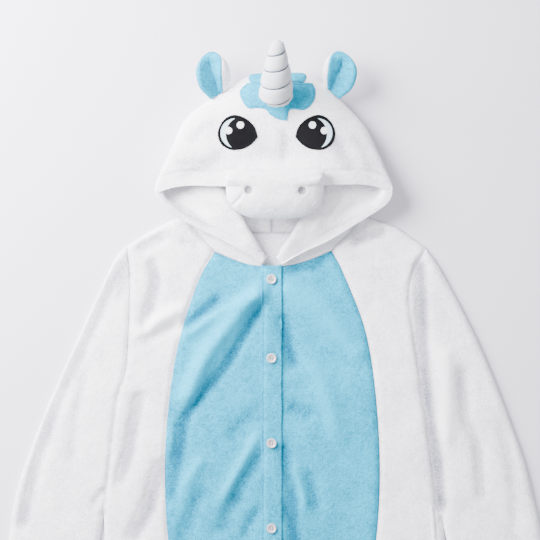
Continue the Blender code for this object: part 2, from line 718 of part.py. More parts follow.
def hood_front(side):
    outer = hood_front_points(side)
    outward = grid_normals(outer)
    if outward[5, 5, 2] < 0:
        outward = -outward
    step = outer[:, 0, :2] - outer[:, -1, :2]
    outward[:, 0, :2] = step / np.linalg.norm(step, axis=1)[:, None]
    outward[:, 0, 2] = 0
    outward[-1, :, 0] = 0
    outward /= np.linalg.norm(outward, axis=2)[:, :, None]
    outer[:, 0, 2] += GAP / 2
    inner = outer - WALL * outward
    for points in (outer, inner):
        points[-1, :, 0] = GAP / 2
        points[:, :, 0] *= SIDES[side]
    wall(f"hood_front_{side}", outer, inner, "white fleece")


def hood_skin(lift):
    """Outer points of the whole upper hood, moved out by lift."""
    left, right = hood_front_points("left"), hood_front_points("right")
    left[:, :, 0] *= -1
    left[-1, :, 0] = 0
    points = np.concatenate([left, right[-2::-1]], axis=0)
    outward = grid_normals(points)
    if outward[10, 5, 2] < 0:
        outward = -outward
    return points + lift * outward


def hood_patch(name, outline, material, low, high):
    """Applique: the hood's own skin moved out, cut to an outline."""
    patch = wall(name, hood_skin(high), hood_skin(low), material)
    boolean(patch, prism(f"{name}_outline", outline, -20, 200), "INTERSECT")


def clear_of_hood(target, lift):
    """Cut away what a sewn-on piece would share with the hood, a gap above its skin."""
    top = hood_skin(lift)
    brim = top[:, -1:] + np.array([0, -0.8, 0])
    top = np.concatenate([top, brim], axis=1)
    bottom = top.copy()
    bottom[:, :, 2] = -30
    cutter = mesh_object(f"{target.name}_seat", wall_mesh(top, bottom), None, CUTTERS)
    boolean(target, cutter, "DIFFERENCE")


# Face ---------------------------------------------------------------------------------------------

def ball(name, around, levels, shape, material):
    """A closed round piece: a sphere whose every vertex is placed by shape(latitude, longitude)."""
    bm = bmesh.new()
    bmesh.ops.create_uvsphere(bm, u_segments=around, v_segments=levels, radius=1.0)
    for v in bm.verts:
        latitude = math.asin(max(-1.0, min(1.0, v.co.z)))
        longitude = math.atan2(v.co.y, v.co.x)
        v.co = to_world(shape(latitude, longitude))
    return mesh_object(name, bm, material, PARTS)


def snout_shape(latitude, longitude):
    """Padded and boxy above, round below, domed on top and sagging a little under the brim."""
    c, s = math.cos(longitude), math.sin(longitude)
    squareness, reach = (7.0, SNOUT_UP) if s > 0 else (2.6, SNOUT_DOWN)
    radius = (abs(c) ** squareness + abs(s) ** squareness) ** (-1 / squareness)
    out = math.cos(latitude) ** 0.75 * radius
    x = SNOUT_CENTRE[0] + SNOUT_HALF_WIDTH * c * out
    y = SNOUT_CENTRE[1] + reach * s * out
    middle = SNOUT_MIDDLE + SNOUT_TILT * (y - SNOUT_CENTRE[1])
    up = math.sin(latitude)
    z = middle + (SNOUT_TOP * up ** 0.9 if up > 0 else -SNOUT_UNDER * (-up) ** 0.9)
    for nx, ny in NOSTRILS.values():
        if up > 0:
            z -= DIMPLE_DEPTH * math.exp(-((x - nx) ** 2 + (y - ny) ** 2) / DIMPLE_SPREAD ** 2)
    return x, y, z


def snout():
    body = ball("snout", 30, 16, snout_shape, "white fleece")
    clear_of_hood(body, GAP)
    return body


def skin_of(obj):
    bpy.context.view_layer.update()
    return BVHTree.FromObject(obj, bpy.context.evaluated_depsgraph_get())


def seated(skin, x, y, reach, underside):
    """Centre and tilt of a small piece that lies a gap above a skin. underside holds points of its
    lower side: how far across, how far along, how far below its centre."""
    def on_skin(across, along):
        return skin.ray_cast(to_world((x + across, y + along, 200)), Vector((0, 0, -1)))[0]

    over = on_skin(reach, 0) - on_skin(-reach, 0)
    up = on_skin(0, reach) - on_skin(0, -reach)
    normal = over.cross(up).normalized()
    middle = on_skin(0, 0)
    rise = max((on_skin(a, b) - middle).dot(normal) + drop * MM for a, b, drop in underside)
    return middle + normal * (rise + GAP * MM), normal.to_track_quat("Z", "Y").to_euler()


def rings(radii_and_drops, around=24):
    """Points of round undersides for seated()."""
    turns = [2 * math.pi * i / around for i in range(around)]
    return [(r * math.cos(t), r * math.sin(t), drop) for r, drop in radii_and_drops for t in turns]


def nostril(side, skin):
    """A stitched ring seated on the snout."""
    steps = np.linspace(-1, 1, 7)
    across = [(EYELET_RADIUS + EYELET_THICK * s, EYELET_THICK * math.sqrt(1 - s * s)) for s in steps]
    place, tilt = seated(skin, *NOSTRILS[side], EYELET_RADIUS, rings(across))
    bpy.ops.mesh.primitive_torus_add(major_radius=EYELET_RADIUS * MM, minor_radius=EYELET_THICK * MM,
                                     major_segments=16, minor_segments=8)
    ring = bpy.context.object
    ring.name = f"nostril_{side}"
    ring.data.materials.append(finish_material("grey thread"))
    ring.rotation_euler = tilt
    ring.location = place
    for old in ring.users_collection:
        old.objects.unlink(ring)
    PARTS.objects.link(ring)


def horn_axis(s):
    a, b, c = (np.array(p) for p in (HORN_BASE, HORN_BEND, HORN_TIP))
    return (1 - s) ** 2 * a + 2 * s * (1 - s) * (2 * b - (a + c) / 2) + s ** 2 * c


def horn_shape(latitude, longitude):
    s = 0.5 + latitude / math.pi
    radius = np.interp(s, *zip(*HORN_RADII))
    along = horn_axis(min(s + 0.01, 1.0)) - horn_axis(max(s - 0.01, 0.0))
    along = along / np.linalg.norm(along)
    across = np.cross(along, (0, 0, 1))
    across = across / np.linalg.norm(across)
    upward = np.cross(across, along)
    phase = (s * HORN_TURNS + longitude / (2 * math.pi)) % 1.0
    groove = HORN_GROOVE * math.exp(-((phase - 0.5) / 0.16) ** 2)
    radius *= 1 - groove
    centre = horn_axis(s)
    return centre + radius * (math.cos(longitude) * across + math.sin(longitude) * upward)


def horn():
    body = ball("horn", 18, 20, horn_shape, "horn cloth")
    clear_of_hood(body, 2 * GAP + MANE)


def ear(side):
    """A cupped leaf standing off the crown seam: a back, and the inner cloth made from its points."""
    outer_edge = at_fractions(EAR_OUTER_EDGE[side], EAR_ALONG)
    inner_edge = at_fractions(EAR_INNER_EDGE[side], EAR_ALONG)
    across, height = np.array(EAR_PROFILE).T
    rows = []
    for along, a, b in zip(EAR_ALONG, outer_edge, inner_edge):
        plan = a + (b - a) * across[:, None]
        cup = EAR_CUP * height * math.sin(math.pi * min(0.15 + along, 0.95))
        z = EAR_BASE_Z + EAR_RISE * math.sin(0.62 * math.pi * along) + cup
        rows.append(np.column_stack([plan, z]))
    points = np.array(rows)
    up = grid_normals(points)
    if up[3, 3, 2] < 0:
        up = -up
    points[:, :, 0] *= SIDES[side]
    up[:, :, 0] *= SIDES[side]
    wall(f"ear_back_{side}", points + 4.0 * up, points, "white fleece")
    inside = (slice(1, -1), slice(1, -1))
    lining, lift = points[inside], up[inside]
    wall(f"ear_inner_{side}", lining + 6.5 * lift, lining + (4.0 + GAP) * lift, "blue fleece")


def eye(side):
    outline = [(SIDES[side] * x + FACE_X, y) for x, y in closed_curve(EYE, 22)]
    hood_patch(f"eye_{side}", outline, "black thread", GAP, GAP + PATCH)


# Trim ---------------------------------------------------------------------------------------------

def button_mesh():
    """A round four-hole button, its underside at z = 0."""
    bpy.ops.mesh.primitive_cylinder_add(vertices=20, radius=BUTTON_RADIUS * MM, depth=BUTTON_THICK * MM,
                                        location=(0, 0, BUTTON_THICK * MM / 2))
    disc = bpy.context.object
    spent = [disc]
    for x in (-2.4, 2.4):
        for y in (-2.4, 2.4):
            bpy.ops.mesh.primitive_cylinder_add(vertices=6, radius=BUTTON_HOLE * MM, depth=0.02,
                                                location=(x * MM, y * MM, 0))
            boolean(disc, bpy.context.object, "DIFFERENCE")
            spent.append(bpy.context.object)
    bpy.context.view_layer.update()
    cut = disc.evaluated_get(bpy.context.evaluated_depsgraph_get())
    mesh = bpy.data.meshes.new_from_object(cut)
    mesh.transform(disc.matrix_world)
    mesh.name = "button"
    for item in spent:
        bpy.data.objects.remove(item)
    mesh.materials.clear()
    mesh.materials.append(finish_material("button plastic"))
    return mesh


def buttons(band):
    mesh = button_mesh()
    skin = skin_of(band)
    underside = rings([(0, 0), (BUTTON_RADIUS / 2, 0), (BUTTON_RADIUS, 0)])
    for number, y in enumerate(BUTTON_Y, 1):
        obj = bpy.data.objects.new(f"button_{number}", mesh)
        obj.location, obj.rotation_euler = seated(skin, 0, y, BUTTON_RADIUS, underside)
        PARTS.objects.link(obj)


def pocket(plan):
    """The facing that shows at the pocket opening in the right side seam."""
    outer, inner = lay_upper(plan, "right")
    up = grid_normals(outer)
    if up[8, 4, 2] < 0:
        up = -up
    rows = slice(8, 20)
    part, lift = outer[rows], up[rows]
    strip = wall("pocket_right", part + (GAP + 2.0) * lift, part + 2 * GAP * lift, "white fleece")
    boolean(strip, prism("pocket_outline", POCKET, -20, 60), "INTERSECT")


# Assembly -----------------------------------------------------------------------------------------

for leftover in list(bpy.data.objects):
    bpy.data.objects.remove(leftover)
PARTS = fresh_collection("unicorn_onesie")
CUTTERS = fresh_collection("cutters")

belly_tops, front_plans = {}, {}
for half in SIDES:
    back(half)
    front_plans[half] = side_front(half)
    belly_tops[half] = belly(half)
    sleeve(half)
    hood_back(half)
    hood_front(half)
    ear(half)
    eye(half)
buttons(placket(belly_tops))
pocket(front_plans["right"])
forelock = [tuple(p) for p in at_fractions(FORELOCK, even(44))[:-1]]
hood_patch("mane_front", forelock, "blue fleece", GAP, GAP + MANE)
hood_patch("mane_back", MANE_STRIP, "blue fleece", GAP, GAP + MANE)
horn()
snout_skin = skin_of(snout())
for half in SIDES:
    nostril(half, snout_skin)
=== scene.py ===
# %% [markdown]
# A unicorn onesie lies flat on its back, front up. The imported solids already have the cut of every
# panel and the big folds. This script dresses them: each panel becomes a smooth thin sheet of
# fleece, the snout, horn and ears become stuffed pieces, and thread, buttons and nap are added.

# %% Load the frame
import math

import bmesh
import bpy
import numpy as np
from mathutils import Matrix, Vector, noise
from mathutils.bvhtree import BVHTree
from mathutils.kdtree import KDTree


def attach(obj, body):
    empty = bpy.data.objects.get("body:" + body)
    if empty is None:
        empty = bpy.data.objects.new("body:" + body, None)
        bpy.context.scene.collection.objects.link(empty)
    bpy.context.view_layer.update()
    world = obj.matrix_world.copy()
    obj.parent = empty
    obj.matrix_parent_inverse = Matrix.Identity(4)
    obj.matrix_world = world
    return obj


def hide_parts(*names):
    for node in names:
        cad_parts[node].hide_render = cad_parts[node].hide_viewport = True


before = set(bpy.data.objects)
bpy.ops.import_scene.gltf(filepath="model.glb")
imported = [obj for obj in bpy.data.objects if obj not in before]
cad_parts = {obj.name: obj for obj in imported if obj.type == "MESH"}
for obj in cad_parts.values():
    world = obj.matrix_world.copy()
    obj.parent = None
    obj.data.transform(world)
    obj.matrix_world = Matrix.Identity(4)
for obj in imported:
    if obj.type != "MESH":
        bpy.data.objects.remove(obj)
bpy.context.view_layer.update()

MM = 0.001
PLAN_ORIGIN = (6.5, -532.0)     # the plan point that lies at the middle of the frame, in mm
SIDES = {"left": -1.0, "right": 1.0}
UP, DOWNWARD = (0, 0, 1), (0, 0, -1)


def spot(x, y, z=0.0):
    """A place on the cutting plan: millimetres right of the centre front, up from the back neck."""
    return Vector(((x - PLAN_ORIGIN[0]) * MM, (y - PLAN_ORIGIN[1]) * MM, z * MM))


def plan_places(places):
    """The same the other way: places in the scene, in metres, as plan millimetres."""
    return np.asarray(places) / MM + (*PLAN_ORIGIN, 0)


# %% [markdown]
# ## Floor, light and camera
# The garment is seen from straight above on a pale floor. One wide lamp stands up and to the left,
# so every fold has a soft shade on its lower right side, and a bright sky fills the rest. A long
# lens keeps the tall horn from leaning outward.

# %% Floor
def plain_material(name, colour, roughness):
    material = bpy.data.materials.new(name)
    material.use_nodes = True
    shader = material.node_tree.nodes["Principled BSDF"]
    shader.inputs["Base Color"].default_value = (*colour, 1.0)
    shader.inputs["Roughness"].default_value = roughness
    shader.inputs["Specular IOR Level"].default_value = 0.1
    return material


FLOOR_SIZE = 60.0         # in metres, so wide that no view shows its edge
FLOOR_DROP = 0.0002       # and how far it lies under the cloth
bpy.ops.mesh.primitive_plane_add(size=FLOOR_SIZE, location=(0, 0, -FLOOR_DROP))
floor = bpy.context.object
floor.name = "floor"
floor.data.materials.append(plain_material("pale floor", (0.675, 0.665, 0.725), 0.9))
print("floor:", FLOOR_SIZE, "m wide")

# %% Lights
VIEW_CENTRE = spot(-2.7, -66.6)     # the plan point in the middle of the picture


def lamp(name, offset, size, power, colour):
    """A round lamp at an offset from the middle of the picture, turned toward it."""
    light = bpy.data.lights.new(name, "AREA")
    light.shape = "DISK"
    light.size, light.energy, light.color = size, power, colour
    obj = bpy.data.objects.new(name, light)
    obj.location = VIEW_CENTRE + Vector(offset)
    obj.rotation_euler = (-Vector(offset)).to_track_quat("-Z", "Y").to_euler()
    bpy.context.scene.collection.objects.link(obj)
    return obj


lamp("window lamp", (-1.25, 0.85, 1.0), 1.5, 258.0, (0.985, 0.965, 1.0))
lamp("fill lamp", (0.6, -0.9, 2.6), 2.4, 34.0, (0.97, 0.98, 1.0))
world = bpy.data.worlds.new("studio")
bpy.context.scene.world = world
world.use_nodes = True
sky = world.node_tree.nodes["Background"]
sky.inputs["Color"].default_value = (0.93, 0.93, 1.0, 1.0)
sky.inputs["Strength"].default_value = 0.98
print("lights:", [light.name for light in bpy.data.lights])

# %% Camera
VIEW_WIDTH = 0.972        # how much of the floor the picture takes in, in metres
CAMERA_HEIGHT = 8.0
camera_data = bpy.data.cameras.new("camera")
camera_data.lens = camera_data.sensor_width * CAMERA_HEIGHT / VIEW_WIDTH
camera_data.clip_end = 50.0
camera = bpy.data.objects.new("camera", camera_data)
camera.location = VIEW_CENTRE + Vector((0, 0, CAMERA_HEIGHT))
bpy.context.scene.collection.objects.link(camera)
bpy.context.scene.camera = camera
print("camera lens", round(camera_data.lens, 1))

# %% [markdown]
# ## Fleece
# Short-pile fleece has no weave to see. It shows as tiny tufts that catch the light, brushed this
# way and that in patches a few centimetres wide. Where it lies in a fold's trough its colour is
# deepened with painted shade, and on a raised place it is lightened with painted light. One node
# group makes the tufts, the patches and this painted shade, and each colour of cloth uses it.

# %% Helpers for node trees
def new_group(name, inputs, outputs):
    """A node group with its sockets. Returns it, its input node and its output node."""
    group = bpy.data.node_groups.new(name, "ShaderNodeTree")
    for label, kind, value in inputs:
        socket = group.interface.new_socket(name=label, in_out="INPUT", socket_type=kind)
        socket.default_value = value
    for label, kind in outputs:
        group.interface.new_socket(name=label, in_out="OUTPUT", socket_type=kind)
    return group, group.nodes.new("NodeGroupInput"), group.nodes.new("NodeGroupOutput")


def node(tree, kind, **settings):
    made = tree.nodes.new(kind)
    for key, value in settings.items():
        setattr(made, key, value)
    return made


def connect(tree, socket, value):
    """Link a socket to another node's output, or set its own value."""
    if isinstance(value, bpy.types.NodeSocket):
        tree.links.new(value, socket)
    else:
        socket.default_value = value


def feed(tree, target, **links):
    """Link or set the named input sockets of a node. An underscore stands for a space."""
    for key, value in links.items():
        connect(tree, target.inputs[key.replace("_", " ")], value)


def maths(tree, operation, a, b=0.0, c=0.0):
    made = node(tree, "ShaderNodeMath", operation=operation)
    for socket, value in zip(made.inputs, (a, b, c)):
        connect(tree, socket, value)
    return made.outputs[0]


def clamped(tree, value):
    return maths(tree, "MINIMUM", maths(tree, "MAXIMUM", value, 0.0), 1.0)


def mixed(tree, factor, a, b):
    made = node(tree, "ShaderNodeMix", data_type="RGBA")
    for index, value in ((0, factor), (6, a), (7, b)):
        connect(tree, made.inputs[index], value)
    return made.outputs[2]


def object_place(tree):
    return node(tree, "ShaderNodeTexCoord").outputs["Object"]


def grain(tree, where, scale, detail=2.0, roughness=0.6):
    """Noise from 0 to 1. scale is about how many grains there are in a metre."""
    made = node(tree, "ShaderNodeTexNoise")
    feed(tree, made, Vector=where, Scale=scale, Detail=detail, Roughness=roughness)
    return made.outputs["Fac"]


# %% The nap group
nap, nap_in, nap_out = new_group(
    "fleece nap",
    [("Colour", "NodeSocketColor", (0.8, 0.8, 0.8, 1)),
     ("Deep Colour", "NodeSocketColor", (0.5, 0.5, 0.5, 1)),
     ("Grain", "NodeSocketFloat", 1.0),
     ("Painted Shade And Nap", "NodeSocketFloat", 0.0),
     ("Level", "NodeSocketFloat", 0.3)],
    [("Colour", "NodeSocketColor"), ("Height", "NodeSocketFloat")])
where = object_place(nap)
patches = grain(nap, where, scale=32.0, detail=3.0)
clumps = grain(nap, where, scale=140.0)
tufts = grain(nap, where, scale=430.0, detail=2.5, roughness=0.65)
fibres = grain(nap, where, scale=1200.0)


def around_zero(value, weight):
    """Noise from 0 to 1 turned to go as far below zero as above it."""
    return maths(nap, "MULTIPLY", maths(nap, "SUBTRACT", value, 0.5), weight)


coarse = maths(nap, "ADD", around_zero(clumps, 0.9), around_zero(patches, 0.8))
speckle = maths(nap, "ADD", around_zero(tufts, 2.6), coarse)
speckle = maths(nap, "MULTIPLY", speckle, nap_in.outputs["Grain"])
# Painted shade: the sheet's stored shade and nap tone are added to the speckle. They deepen the
# colour in folds and, below zero, lighten it on raised places
depth = maths(nap, "ADD", speckle, nap_in.outputs["Painted Shade And Nap"])
depth = clamped(nap, maths(nap, "ADD", depth, nap_in.outputs["Level"]))
fluff = maths(nap, "ADD", maths(nap, "MULTIPLY", clumps, 0.45), maths(nap, "MULTIPLY", fibres, 0.2))
pile = maths(nap, "ADD", maths(nap, "MULTIPLY", tufts, 0.5), fluff)
cloth_colour = mixed(nap, depth, nap_in.outputs["Colour"], nap_in.outputs["Deep Colour"])
feed(nap, nap_out, Colour=cloth_colour, Height=pile)
print("nap group:", len(nap.nodes), "nodes")

# %% Fleece materials
PILE_HEIGHT = 0.003       # in metres


def fleece(name, colour, deep, speckle=0.5, sheen=0.0, bump=0.4, painted_shade_and_nap=0.0, level=0.3):
    """A napped cloth between two colours. One weight sets how far the painted shade and nap tone
    that a sheet keeps at each point deepen the colour.
    """
    material = plain_material(name, colour, 1.0)
    tree = material.node_tree
    shader = tree.nodes["Principled BSDF"]
    cloth = node(tree, "ShaderNodeGroup", node_tree=nap)
    feed(tree, cloth, Colour=(*colour, 1), Deep_Colour=(*deep, 1), Grain=speckle, Level=level)
    # Painted shade and nap tone, read from what the sheet keeps at each point
    if painted_shade_and_nap:
        shade_and_nap = node(tree, "ShaderNodeAttribute", attribute_name="painted_shade_and_nap").outputs["Fac"]
        tree.links.new(maths(tree, "MULTIPLY", shade_and_nap, painted_shade_and_nap), cloth.inputs["Painted Shade And Nap"])
    relief = node(tree, "ShaderNodeBump")
    feed(tree, relief, Height=cloth.outputs["Height"], Distance=PILE_HEIGHT, Strength=bump)
    feed(tree, shader, Base_Color=cloth.outputs["Colour"], Normal=relief.outputs["Normal"])
    shader.inputs["Specular IOR Level"].default_value = 0.06
    shader.inputs["Sheen Weight"].default_value = sheen
    shader.inputs["Sheen Roughness"].default_value = 0.45
    shader.inputs["Sheen Tint"].default_value = (*(min(1.0, 0.45 + 0.6 * c) for c in colour), 1)
    return material


# Each deep colour is what the random speckle and the painted shade in folds darken the cloth toward
WHITE = fleece("white fleece", (0.985, 0.97, 1.0), (0.22, 0.225, 0.30),
               speckle=0.45, sheen=0.1, bump=0.9, painted_shade_and_nap=0.9, level=0.13)
BLUE = fleece("blue fleece", (0.0, 0.45, 0.67), (0.0, 0.125, 0.225),
              speckle=0.75, bump=1.0, painted_shade_and_nap=0.9, level=0.34)
HORN_CLOTH = fleece("horn cloth", (0.60, 0.61, 0.63), (0.42, 0.44, 0.48), sheen=0.05, bump=0.3)
print("fleece materials made")

# %% [markdown]
# ## The cut
# Every panel is cut along a few lines: shoulder, armhole, sleeve, side, inseam, neck and the edge
# of the belly. Two panels that are sewn together share their line, so they meet without a gap. The
# lines below are the solids' own, in millimetres outward from the centre front and up from the back
# neck. Each sheet is worked out again from them in steps fine enough for small folds.

# %% Cutting lines
WALL = 2.6                # thickness of the fleece
TRIM_WALL = 1.5           # and of the pieces sewn on top of it
SEWN_GAP = 0.3            # between a panel and what is sewn on it
TURN = 14.0               # how far in from an outer edge the upper layer rounds over
SEAM_Z = 3.3              # where the upper layer meets the lower one at an outer edge
BACK_TOP = 3.0            # height of the back's upper face
REST_TOP = 12.0           # usual height of the upper layer
LOWEST_TOP = 6.6          # where it lies right on the lower layer
ANKLE = -1406.0
PLACKET_HALF = 18.5
PLACKET_END = -733.0
BELLY_LOW = -823.0
CROTCH = -850.0
SHOULDER = {
    "left": [(152, 34), (179, 23), (222, 1), (260, -23)],
    "right": [(156, 36), (183, 24), (222, 11), (249, -7), (278, -28)],
}
ARMHOLE = {
    "left": [(260, -23), (255, -77), (256, -157), (262, -248), (278, -301), (294, -436),
             (302, -507)],
    "right": [(278, -28), (253, -77), (248, -124), (255, -175), (280, -311), (294, -428),
              (307, -517)],
}
SLEEVE_OUTER = {
    "left": [(260, -23), (284, -52), (339, -169), (408, -324), (458, -461), (473, -553),
             (483, -625)],
    "right": [(278, -28), (310, -76), (379, -212), (447, -387), (472, -479), (483, -529),
              (496, -620)],
}
UNDERARM = {
    "left": [(302, -507), (309, -553), (330, -640)],
    "right": [(307, -517), (315, -553), (339, -640)],
}
SIDE_EDGE = {
    "left": [(302, -507), (301, -553), (306, -700), (300, -900), (275, -1150), (247, ANKLE)],
    "right": [(307, -517), (311, -553), (312, -700), (303, -900), (277, -1150), (249, ANKLE)],
}
INSEAM = {
    "left": [(0, CROTCH), (22, -960), (55, -1150), (97, ANKLE)],
    "right": [(0, CROTCH), (22, -960), (56, -1150), (99, ANKLE)],
}
NECK_FRONT = {
    "left": [(152, 34), (140, 8), (121, -16), (102, -34)],
    "right": [(156, 36), (147, 7), (132, -9), (108, -32)],
}
BELLY_TOP = {
    "left": [(102, -34), (73, -46), (45, -56), (PLACKET_HALF, -60)],
    "right": [(108, -32), (80, -44), (48, -55), (PLACKET_HALF, -60)],
}
BELLY_EDGE = {
    "left": [(102, -34), (132, -88), (169, -207), (189, -355), (190, -499), (172, -650),
             (140, -735), (85, -798), (PLACKET_HALF, BELLY_LOW)],
    "right": [(108, -32), (131, -76), (172, -188), (192, -343), (193, -499), (173, -650),
              (141, -735), (86, -798), (PLACKET_HALF, BELLY_LOW)],
}
NECK_BACK = {
    "left": [(152, 34), (128, 10), (95, 1), (60, -1), (0, -1)],
    "right": [(156, 36), (130, 10), (95, 1), (60, -1), (0, -1)],
}
HOOD_HEM = {
    "left": [(PLACKET_HALF, -57), (42, -38), (93, -11), (131, 7), (174, 32), (194, 49), (208, 69)],
    "right": [(PLACKET_HALF, -57), (60, -34), (104, -14), (153, 16), (199, 46), (213, 64),
              (217, 77)],
}
HOOD_OUTLINE = {
    "left": [(208, 69), (201, 97), (179, 153), (154, 205), (109, 241), (77, 261), (42, 281),
             (0, 285)],
    "right": [(217, 77), (208, 93), (194, 135), (168, 191), (123, 239), (91, 270), (60, 284),
              (0, 285)],
}
BRIM = {
    "left": [(201, 73), (190, 84), (143, 85), (100, 83), (0, 83)],
    "right": [(209, 80), (190, 87), (150, 87), (104, 85), (0, 83)],
}


# %% Curves
def dense_curve(points, steps=16):
    """A smooth curve through the points, as many short steps."""
    p = np.array(points, float)
    p = np.vstack([2 * p[0] - p[1], p, 2 * p[-1] - p[-2]])
    t = np.linspace(0, 1, steps, endpoint=False)[:, None]
    runs = []
    for a, b, c, d in zip(p[:-3], p[1:-2], p[2:-1], p[3:]):
        runs.append(0.5 * (2 * b + (c - a) * t + (2 * a - 5 * b + 4 * c - d) * t ** 2
                           + (3 * b - a - 3 * c + d) * t ** 3))
    return np.vstack(runs + [p[-2:-1]])


def at_fractions(points, fractions):
    """The points of a smooth curve at fractions of its length."""
    curve = dense_curve(points)
    run = np.concatenate([[0], np.cumsum(np.linalg.norm(np.diff(curve, axis=0), axis=1))])
    want = np.asarray(fractions) * run[-1]
    return np.stack([np.interp(want, run, curve[:, i]) for i in range(curve.shape[1])], axis=1)


def even(cells):
    return np.linspace(0, 1, cells + 1)


def edged(cells, length, end=True):
    """Even fractions of a length, with two short cells at its start and, with end, at its end."""
    short = [4.0 / length, TURN / length]
    first = [0.0] + short
    last = ([1 - s for s in reversed(short)] if end else []) + [1.0]
    inner = np.linspace(first[-1], last[0], cells + 1)[1:-1]
    return np.array(first + list(inner) + last)


def length_of(points):
    return float(np.linalg.norm(np.diff(dense_curve(points), axis=0), axis=1).sum())


def finer(fractions, times):
    """Each step between fractions cut into several."""
    steps = np.arange(len(fractions))
    return np.interp(np.linspace(0, steps[-1], steps[-1] * times + 1), steps, fractions)


def joined(*runs):
    return np.vstack([runs[0]] + [run[1:] for run in runs[1:]])


def bell(away, width):
    """1 where away is 0, falling softly on both sides to about a third at the width."""
    return np.exp(-(away / width) ** 2)


def from_ends(share):
    """How far a share from 0 to 1 is from the nearer end."""
    return np.minimum(share, 1 - share)


def rounded(near):
    """A quarter circle from 0 at an edge to 1, which it keeps from where near is 1."""
    return np.sqrt(1 - (1 - np.clip(near, 0, 1)) ** 2)


def on_side(xy, side):
    """Plan points with x outward, turned to x to the right."""
    return xy * (SIDES[side], 1)


DOWN, ACROSS = 10, 8      # fine steps to one coarse step of a panel, along it and across it
SLEEVE_DOWN = 14          # and along a sleeve


def cut_line(line, cells, times=DOWN):
    """A cutting line in even coarse cells, each cut into fine steps."""
    return at_fractions(line, finer(even(cells), times))


def edged_line(line, cells, times=DOWN, end=True):
    """The same with short cells where the upper layer rounds over."""
    return at_fractions(line, finer(edged(cells, length_of(line), end=end), times))


def armhole_line(side):
    return edged_line(ARMHOLE[side], 8)


def neck_front_line(side, times=DOWN):
    return edged_line(NECK_FRONT[side], 2, times, end=False)


def neck_back_line(side, times=DOWN):
    return cut_line(NECK_BACK[side], 5, times)


def belly_top_line(side, times=ACROSS):
    return cut_line(BELLY_TOP[side], 6, times)


def belly_edge_line(side):
    return cut_line(BELLY_EDGE[side], 18)


# %% [markdown]
# ## Folds
# Fleece is thick and soft, so its folds are broad, round and few, and they run between the places
# where it is held: the seams, the buttons and the hood. Each is a line on the plan with a height
# and a half width, strongest in the middle and fading out at both ends. The broad ones are in the
# solids too, and the small ones are added here.

# %% Broad folds
BROAD_FOLDS = (
    (9, 16, ((-149, -292), (-120, -227), (-71, -160), (-24, -112))),
    (-5, 9, ((-152, -329), (-116, -281), (-78, -234), (-21, -135))),
    (4, 14, ((-156, -182), (-28, -112))),
    (-4, 8, ((-148, -167), (-98, -121))),
    (-5, 11, ((-163, -350), (-166, -400), (-179, -472))),
    (-4, 13, ((-21, -403), (-46, -439), (-71, -491), (-87, -527))),
    (-4, 13, ((-130, -472), (-163, -553))),
    (5, 16, ((31, -104), (93, -146), (156, -212))),
    (-5, 12, ((21, -160), (39, -234))),
    (-5, 12, ((22, -392), (40, -470), (42, -553))),
    (-6, 11, ((-212, -58), (-208, -97), (-228, -165))),
    (4, 14, ((-235, -178), (-165, -140))),
    (-5.5, 13, ((-238, -300), (-255, -391), (-272, -441))),
    (-7, 15, ((-201, -425), (-219, -488), (-247, -542))),
    (-5, 12, ((-272, -60), (-332, -190), (-368, -270), (-419, -405), (-446, -520))),
    (-7, 12, ((268, -62), (272, -160), (281, -292), (298, -400), (306, -488))),
    (4, 15, ((316, -221), (316, -365))),
    (-4, 12, ((343, -252), (350, -330), (372, -389), (378, -468))),
    (-5, 10, ((155, -16), (199, 0))),
    (-4, 16, ((-20, -880), (-90, -840), (-180, -790))),
    (-4, 16, ((25, -890), (110, -860), (190, -820))),
    (4, 18, ((-210, -980), (-150, -1080), (-130, -1200))),
    (4, 18, ((205, -960), (165, -1060), (150, -1170))),
    (-4, 14, ((-235, -1040), (-200, -1130), (-205, -1250))),
    (-4, 14, ((240, -1080), (190, -1180), (180, -1290))),
)

# %% Small folds
SMALL_FOLDS = (
    # belly, left half: height, half width, path, all in millimetres
    (-2.0, 8, ((-149, -167), (-98, -121))),
    (1.5, 8, ((-156, -182), (-90, -143), (-28, -112))),
    (-2.5, 6, ((-152, -329), (-116, -281), (-78, -234), (-42, -175), (-21, -135))),
    (-3.0, 9, ((-149, -319), (-163, -380), (-179, -418))),
    (-2.5, 9, ((-21, -491), (-53, -553))),
    (-1.6, 12, ((-28, -315), (-78, -373))),
    (4.0, 10, ((-92, -487), (-45, -401), (-20, -351))),
    (3.5, 12, ((-158, -460), (-123, -401))),
    # belly, right half
    (-3.0, 14, ((29, -311), (76, -335))),
    (3.5, 9, ((38, -415), (62, -500))),
    (-3.0, 12, ((68, -425), (85, -500))),
    (3.0, 16, ((60, -220), (100, -290), (120, -380))),
    (-3.0, 8, ((17, -72), (75, -60), (105, -40))),
    (-2.0, 6, ((21, -160), (39, -234))),
    (-2.5, 7, ((24, -481), (42, -553), (40, -600))),
    # front and sleeve, left
    (-2.5, 10, ((-165, -164), (-231, -194))),
    (2.5, 11, ((-233, -169), (-165, -135))),
    (-4.0, 11, ((-243, -33), (-215, -18), (-188, -5))),
    (-2.0, 9, ((-168, -14), (-129, -25))),
    (-2.5, 10, ((-264, -61), (-266, -97), (-276, -124))),
    (-2.5, 8, ((-301, -459), (-321, -491))),
    (-2.0, 12, ((-330, -230), (-352, -330), (-360, -430))),
    # sleeve, right, and below both hips
    (-2.0, 12, ((410, -330), (432, -430), (440, -540))),
    (-2.5, 14, ((-210, -700), (-190, -800), (-200, -900))),
    (-2.5, 14, ((215, -720), (200, -830), (180, -930))),
    (-2.5, 12, ((-200, -1180), (-170, -1250), (-180, -1340))),
    (-2.5, 12, ((205, -1150), (180, -1240), (185, -1330))),
)
print("folds:", len(BROAD_FOLDS), "broad,", len(SMALL_FOLDS), "small")


